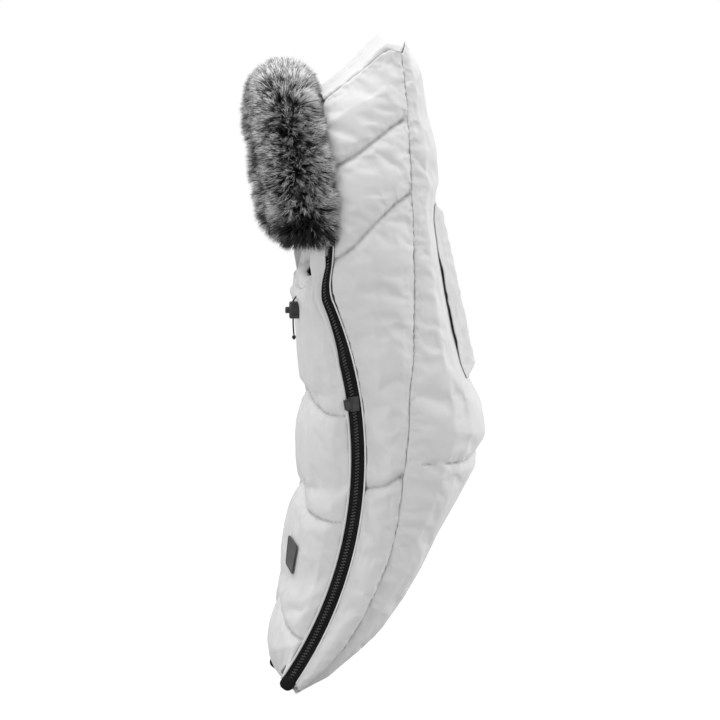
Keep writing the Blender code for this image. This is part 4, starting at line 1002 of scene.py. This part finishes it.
# Drawstring and cord lock: a round black cord runs in the casing, comes out at the front and passes
# through a sprung plastic barrel lock. The free end hangs below it and ends in a knot.
cord_black = woven("cord_black", (0.010, 0.010, 0.010), (0.022, 0.022, 0.023), 0.7, 2600.0, 0.0003, 200.0, 0.0002, 0.1)
lock_resin = moulded("lock_resin", (0.013, 0.013, 0.014), (0.032, 0.032, 0.034), 0.38, 1800.0, 0.00004)
lock_body = bevelled_copy("lock_barrel", "cord_lock_body", 0.0006)
dress(lock_body, lock_resin, "upper_cover", "lock_plastic", "cord_lock_body")
for number, height in enumerate((-0.0185, -0.0145, -0.0083, -0.0043)):
    bpy.ops.object.select_all(action="DESELECT")
    bpy.ops.mesh.primitive_torus_add(location=(0.030, -0.2251, height), major_segments=40, minor_segments=8,
                                     major_radius=1.0, minor_radius=0.09)
    rib = bpy.context.object
    rib.name = "lock_rib_" + str(number + 1)
    ring = points_of(rib)
    bpy.ops.object.transform_apply(location=True, rotation=True, scale=True)
    around = np.arctan2(ring[:, 1], ring[:, 0])
    wide = np.hypot(ring[:, 0], ring[:, 1]) - 1.0
    square = (np.abs(np.cos(around)) ** 5 + np.abs(np.sin(around)) ** 5) ** -0.2
    move_points(rib, np.column_stack([0.030 + np.cos(around) * square * (0.0060 + wide * 0.006),
                                      -0.2251 + np.sin(around) * square * (0.0081 + wide * 0.006),
                                      height + ring[:, 2] * 0.006]))
    bpy.ops.object.shade_smooth()
    dress(rib, lock_resin, "upper_cover", "lock_plastic")
plunger = bevelled_copy("lock_plunger", "cord_lock_button", 0.0005)
dress(plunger, lock_resin, "cord_lock_button", "lock_plastic", "cord_lock_button")
spring_finish = moulded("spring_wire", (0.45, 0.45, 0.46), (0.62, 0.62, 0.63), 0.28, 3000.0, 0.00001, 1.0)
nodes["cord_lock_spring"].data.materials.clear()
nodes["cord_lock_spring"].data.materials.append(spring_finish)
string = merged_copy("collar_string", "drawstring")
subdivided(string, 1, 0.0002, 900.0)
dress(string, cord_black, "upper_cover", "black_cord", "drawstring")
knot = merged_copy("tail_knot", "cord_knot")
subdivided(knot, 3, 0.0004, 700.0)
dress(knot, cord_black, "upper_cover", "black_cord", "cord_knot")
tail_route = [(0.0300, -0.2112, 0.0246), (0.0300, -0.2125, 0.0220), (0.0300, -0.2160, 0.0165),
              (0.0300, -0.2190, 0.0125), (0.0300, -0.2222, 0.0085), (0.0300, -0.2262, 0.0045),
              (0.0300, -0.2284, 0.0006), (0.0300, -0.2284, -0.0054), (0.0300, -0.2284, -0.0114),
              (0.0300, -0.2284, -0.0174), (0.0301, -0.2283, -0.0234), (0.0303, -0.2283, -0.0294),
              (0.0308, -0.2281, -0.0354), (0.0314, -0.2277, -0.0404), (0.0320, -0.2274, -0.0454)]
bpy.ops.object.select_all(action="DESELECT")
bpy.ops.curve.primitive_nurbs_path_add()
tail = bpy.context.object
tail.name = "drawstring_tail"
tail.data.splines.clear()
strand = tail.data.splines.new("POLY")
strand.points.add(len(tail_route) - 1)
for point, place in zip(strand.points, tail_route):
    point.co = (*place, 1.0)
tail.data.bevel_depth = 0.0011
tail.data.bevel_resolution = 3
tail.data.use_fill_caps = True
tail.data.materials.append(cord_black)
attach(tail, "upper_cover")
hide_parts("cord_tail")


# Rear sleeve: a wide band of thin crumpled nylon, hemmed to the back along its top and foot and open
# at both sides, which slips over the seat's backrest.
sleeve_up = Vector((0.0, -math.sin(math.radians(12.1)), math.cos(math.radians(12.1))))
sleeve_out = Vector((0.0, math.cos(math.radians(12.1)), math.sin(math.radians(12.1))))
sleeve_half = 0.134
sleeve_flat = 0.092
sleeve_top = 0.142
sleeve_foot = -0.097
back_mesh = nodes["back_panel"].data
back_tree = BVHTree.FromPolygons([point.co for point in back_mesh.vertices],
                                 [tuple(face.vertices) for face in back_mesh.polygons])
bpy.ops.object.select_all(action="DESELECT")
bpy.ops.mesh.primitive_grid_add(x_subdivisions=120, y_subdivisions=110, size=2.0)
sleeve = bpy.context.object
sleeve.name = "sleeve_band"
laid = []
for u, v, _ in points_of(sleeve):
    across, rise = u * sleeve_half, sleeve_foot + (sleeve_top - sleeve_foot) * (v + 1) / 2
    start = sleeve_up * rise + sleeve_out * 0.05 + Vector((across, 0.0, 0.0))
    hit = back_tree.ray_cast(start, -sleeve_out)
    seat = -hit[0].dot(sleeve_out) if hit[0] is not None else 0.04
    wing = min(1.0, max(0.0, (abs(across) - sleeve_flat) / (sleeve_half - sleeve_flat)))
    open_mouth = min(1.0, max(0.0, (0.082 - rise) / 0.03)) * min(1.0, max(0.0, (rise + 0.075) / 0.03))
    hug = wing * wing * (3 - 2 * wing)
    hem = max(0.0, 1.0 - min(rise - sleeve_foot, sleeve_top - rise) / 0.016)
    hug = max(hug, hem * hem * (3 - 2 * hem))
    crumple = abs(noise.noise(Vector((across * 42.0, rise * 60.0, 0.3)))) * 0.0042
    crumple += abs(noise.noise(Vector((across * 95.0, rise * 130.0, 4.0)))) * 0.0016
    depth = max(0.0, seat - 0.0022 - 0.0030 * open_mouth) * hug + crumple * (1.0 - 0.55 * hug)
    depth = min(depth + 0.0006, max(seat - 0.0012, 0.0006))
    laid.append(tuple(sleeve_up * rise - sleeve_out * depth + Vector((across, 0.0, 0.0))))
move_points(sleeve, np.array(laid))
cloth_depth = sleeve.modifiers.new("thick", "SOLIDIFY")
cloth_depth.thickness = 0.0012
cloth_depth.offset = 0.0
bpy.ops.object.modifier_apply(modifier="thick")
bpy.ops.object.mode_set(mode="EDIT")
bpy.ops.mesh.select_all(action="SELECT")
bpy.ops.mesh.normals_make_consistent(inside=False)
bpy.ops.object.mode_set(mode="OBJECT")
bpy.ops.object.shade_smooth()
# The sleeve's nylon is a darker copy of the shell's grey: painted shade.
shaded_sleeve_nylon = woven("shaded_sleeve_nylon", (0.56, 0.56, 0.56), (0.64, 0.64, 0.64), 0.5, 900.0, 0.00010, 45.0, 0.0012, 0.12)
dress(sleeve, shaded_sleeve_nylon, "shell", "shell_cloth", "rear_sleeve")


# Badge: a bare patch of dark grey rubber with a raised rim, bonded to the lower cover.
badge_rubber = moulded("badge_rubber", (0.030, 0.030, 0.031), (0.050, 0.050, 0.052), 0.55, 1400.0, 0.00006)
patch = merged_copy("rubber_patch", "badge")
corners = points_of(patch)
patch_middle = (corners.min(axis=0) + corners.max(axis=0)) / 2
patch_out = np.array((0.50, -0.866, 0.0))
patch_along = np.array((0.866, 0.50, 0.0))
lower_mesh = nodes["lower_cover"].data
lower_tree = BVHTree.FromPolygons([point.co for point in lower_mesh.vertices],
                                  [tuple(face.vertices) for face in lower_mesh.polygons])
patch_turn = math.radians(18.0)
turned = []
for spot in corners:
    along = (spot - patch_middle) @ patch_along
    rise = spot[2] - patch_middle[2]
    under = lower_tree.ray_cast(Vector(spot + patch_out * 0.05), Vector(-patch_out))[0]
    height = (spot - np.array(under)) @ patch_out if under is not None else 0.0
    new_along = along * math.cos(patch_turn) + rise * math.sin(patch_turn)
    new_rise = rise * math.cos(patch_turn) - along * math.sin(patch_turn)
    over = patch_middle + patch_along * new_along + np.array((0.0, 0.0, new_rise)) + patch_out * 0.05
    landed = lower_tree.ray_cast(Vector(over), Vector(-patch_out))[0]
    turned.append(np.array(landed) + patch_out * height)
move_points(patch, np.array(turned))
front_way = Vector((0.55, -0.83, 0.0))
bpy.ops.object.mode_set(mode="EDIT")
bpy.ops.mesh.select_all(action="DESELECT")
bpy.ops.object.mode_set(mode="OBJECT")
for face in patch.data.polygons:
    face.select = face.normal.dot(front_way) > 0.6 and face.area > 0.00002
bpy.ops.object.mode_set(mode="EDIT")
bpy.ops.mesh.select_mode(type="FACE")
bpy.ops.mesh.inset(thickness=0.0022)
bpy.ops.mesh.inset(thickness=0.0004, depth=-0.0007)
bpy.ops.object.mode_set(mode="OBJECT")
rounding = patch.modifiers.new("edges", "BEVEL")
rounding.width = 0.0004
rounding.segments = 2
bpy.ops.object.modifier_apply(modifier="edges")
bpy.ops.object.shade_smooth_by_angle(angle=math.radians(40))
dress(patch, badge_rubber, "shell", "badge_rubber", "badge")


# Floor and light: a plain white floor just below the footmuff's lowest point, lit evenly by large soft lamps.
bpy.ops.mesh.primitive_plane_add(size=14.0, location=(0.0, 0.0, cad_box[0][2] - 0.004))
floor = bpy.context.object
floor.name = "floor"
floor_finish = bpy.data.materials.new("white_sweep")
floor_finish.use_nodes = True
floor.data.materials.append(floor_finish)
floor_tree = floor_finish.node_tree
floor_shader = floor_tree.nodes["Principled BSDF"]
floor_shader.inputs["Base Color"].default_value = (0.55, 0.55, 0.55, 1.0)
floor_shader.inputs["Roughness"].default_value = 0.9
bright = floor_tree.nodes.new("ShaderNodeEmission")
bright.inputs["Strength"].default_value = 0.93
shaded = floor_tree.nodes.new("ShaderNodeBsdfDiffuse")
shaded.inputs["Color"].default_value = (0.16, 0.16, 0.16, 1.0)
seen = floor_tree.nodes.new("ShaderNodeAddShader")
floor_rays = floor_tree.nodes.new("ShaderNodeLightPath")
floor_choice = floor_tree.nodes.new("ShaderNodeMixShader")
floor_tree.links.new(bright.outputs[0], seen.inputs[0])
floor_tree.links.new(shaded.outputs[0], seen.inputs[1])
floor_tree.links.new(floor_rays.outputs["Is Camera Ray"], floor_choice.inputs["Fac"])
floor_tree.links.new(floor_shader.outputs[0], floor_choice.inputs[1])
floor_tree.links.new(seen.outputs[0], floor_choice.inputs[2])
floor_tree.links.new(floor_choice.outputs[0], floor_tree.nodes["Material Output"].inputs["Surface"])

world = bpy.data.worlds.new("white_room")
bpy.context.scene.world = world
world.use_nodes = True
sky = world.node_tree.nodes["Background"]
plain = world.node_tree.nodes.new("ShaderNodeBackground")
plain.inputs["Color"].default_value = (1.0, 1.0, 1.0, 1.0)
plain.inputs["Strength"].default_value = 1.0
sky.inputs["Color"].default_value = (1.0, 1.0, 1.0, 1.0)
sky.inputs["Strength"].default_value = 0.48
rays = world.node_tree.nodes.new("ShaderNodeLightPath")
either = world.node_tree.nodes.new("ShaderNodeMath")
either.operation = "MAXIMUM"
clear = world.node_tree.nodes.new("ShaderNodeMath")
clear.operation = "MAXIMUM"
mixed = world.node_tree.nodes.new("ShaderNodeMixShader")
world.node_tree.links.new(rays.outputs["Is Camera Ray"], either.inputs[0])
world.node_tree.links.new(rays.outputs["Is Glossy Ray"], either.inputs[1])
world.node_tree.links.new(either.outputs[0], clear.inputs[0])
world.node_tree.links.new(rays.outputs["Is Transmission Ray"], clear.inputs[1])
world.node_tree.links.new(clear.outputs[0], mixed.inputs["Fac"])
world.node_tree.links.new(sky.outputs[0], mixed.inputs[1])
world.node_tree.links.new(plain.outputs[0], mixed.inputs[2])
world.node_tree.links.new(mixed.outputs[0], world.node_tree.nodes["World Output"].inputs["Surface"])


def soft_lamp(name, place, size, power):
    """A square softbox at place that faces the footmuff."""
    bpy.ops.object.light_add(type="AREA", location=place)
    lamp = bpy.context.object
    lamp.name = name
    lamp.data.shape = "SQUARE"
    lamp.data.size = size
    lamp.data.energy = power
    lamp.rotation_euler = (aim - Vector(place)).to_track_quat("-Z", "Y").to_euler()


soft_lamp("front_softbox", (2.2, -2.8, 1.4), 1.6, 46.0)
soft_lamp("rear_softbox", (0.3, 3.1, 1.6), 1.6, 88.0)
soft_lamp("top_softbox", (0.0, -0.9, 3.2), 1.6, 88.0)

bpy.context.scene.view_settings.view_transform = "Standard"
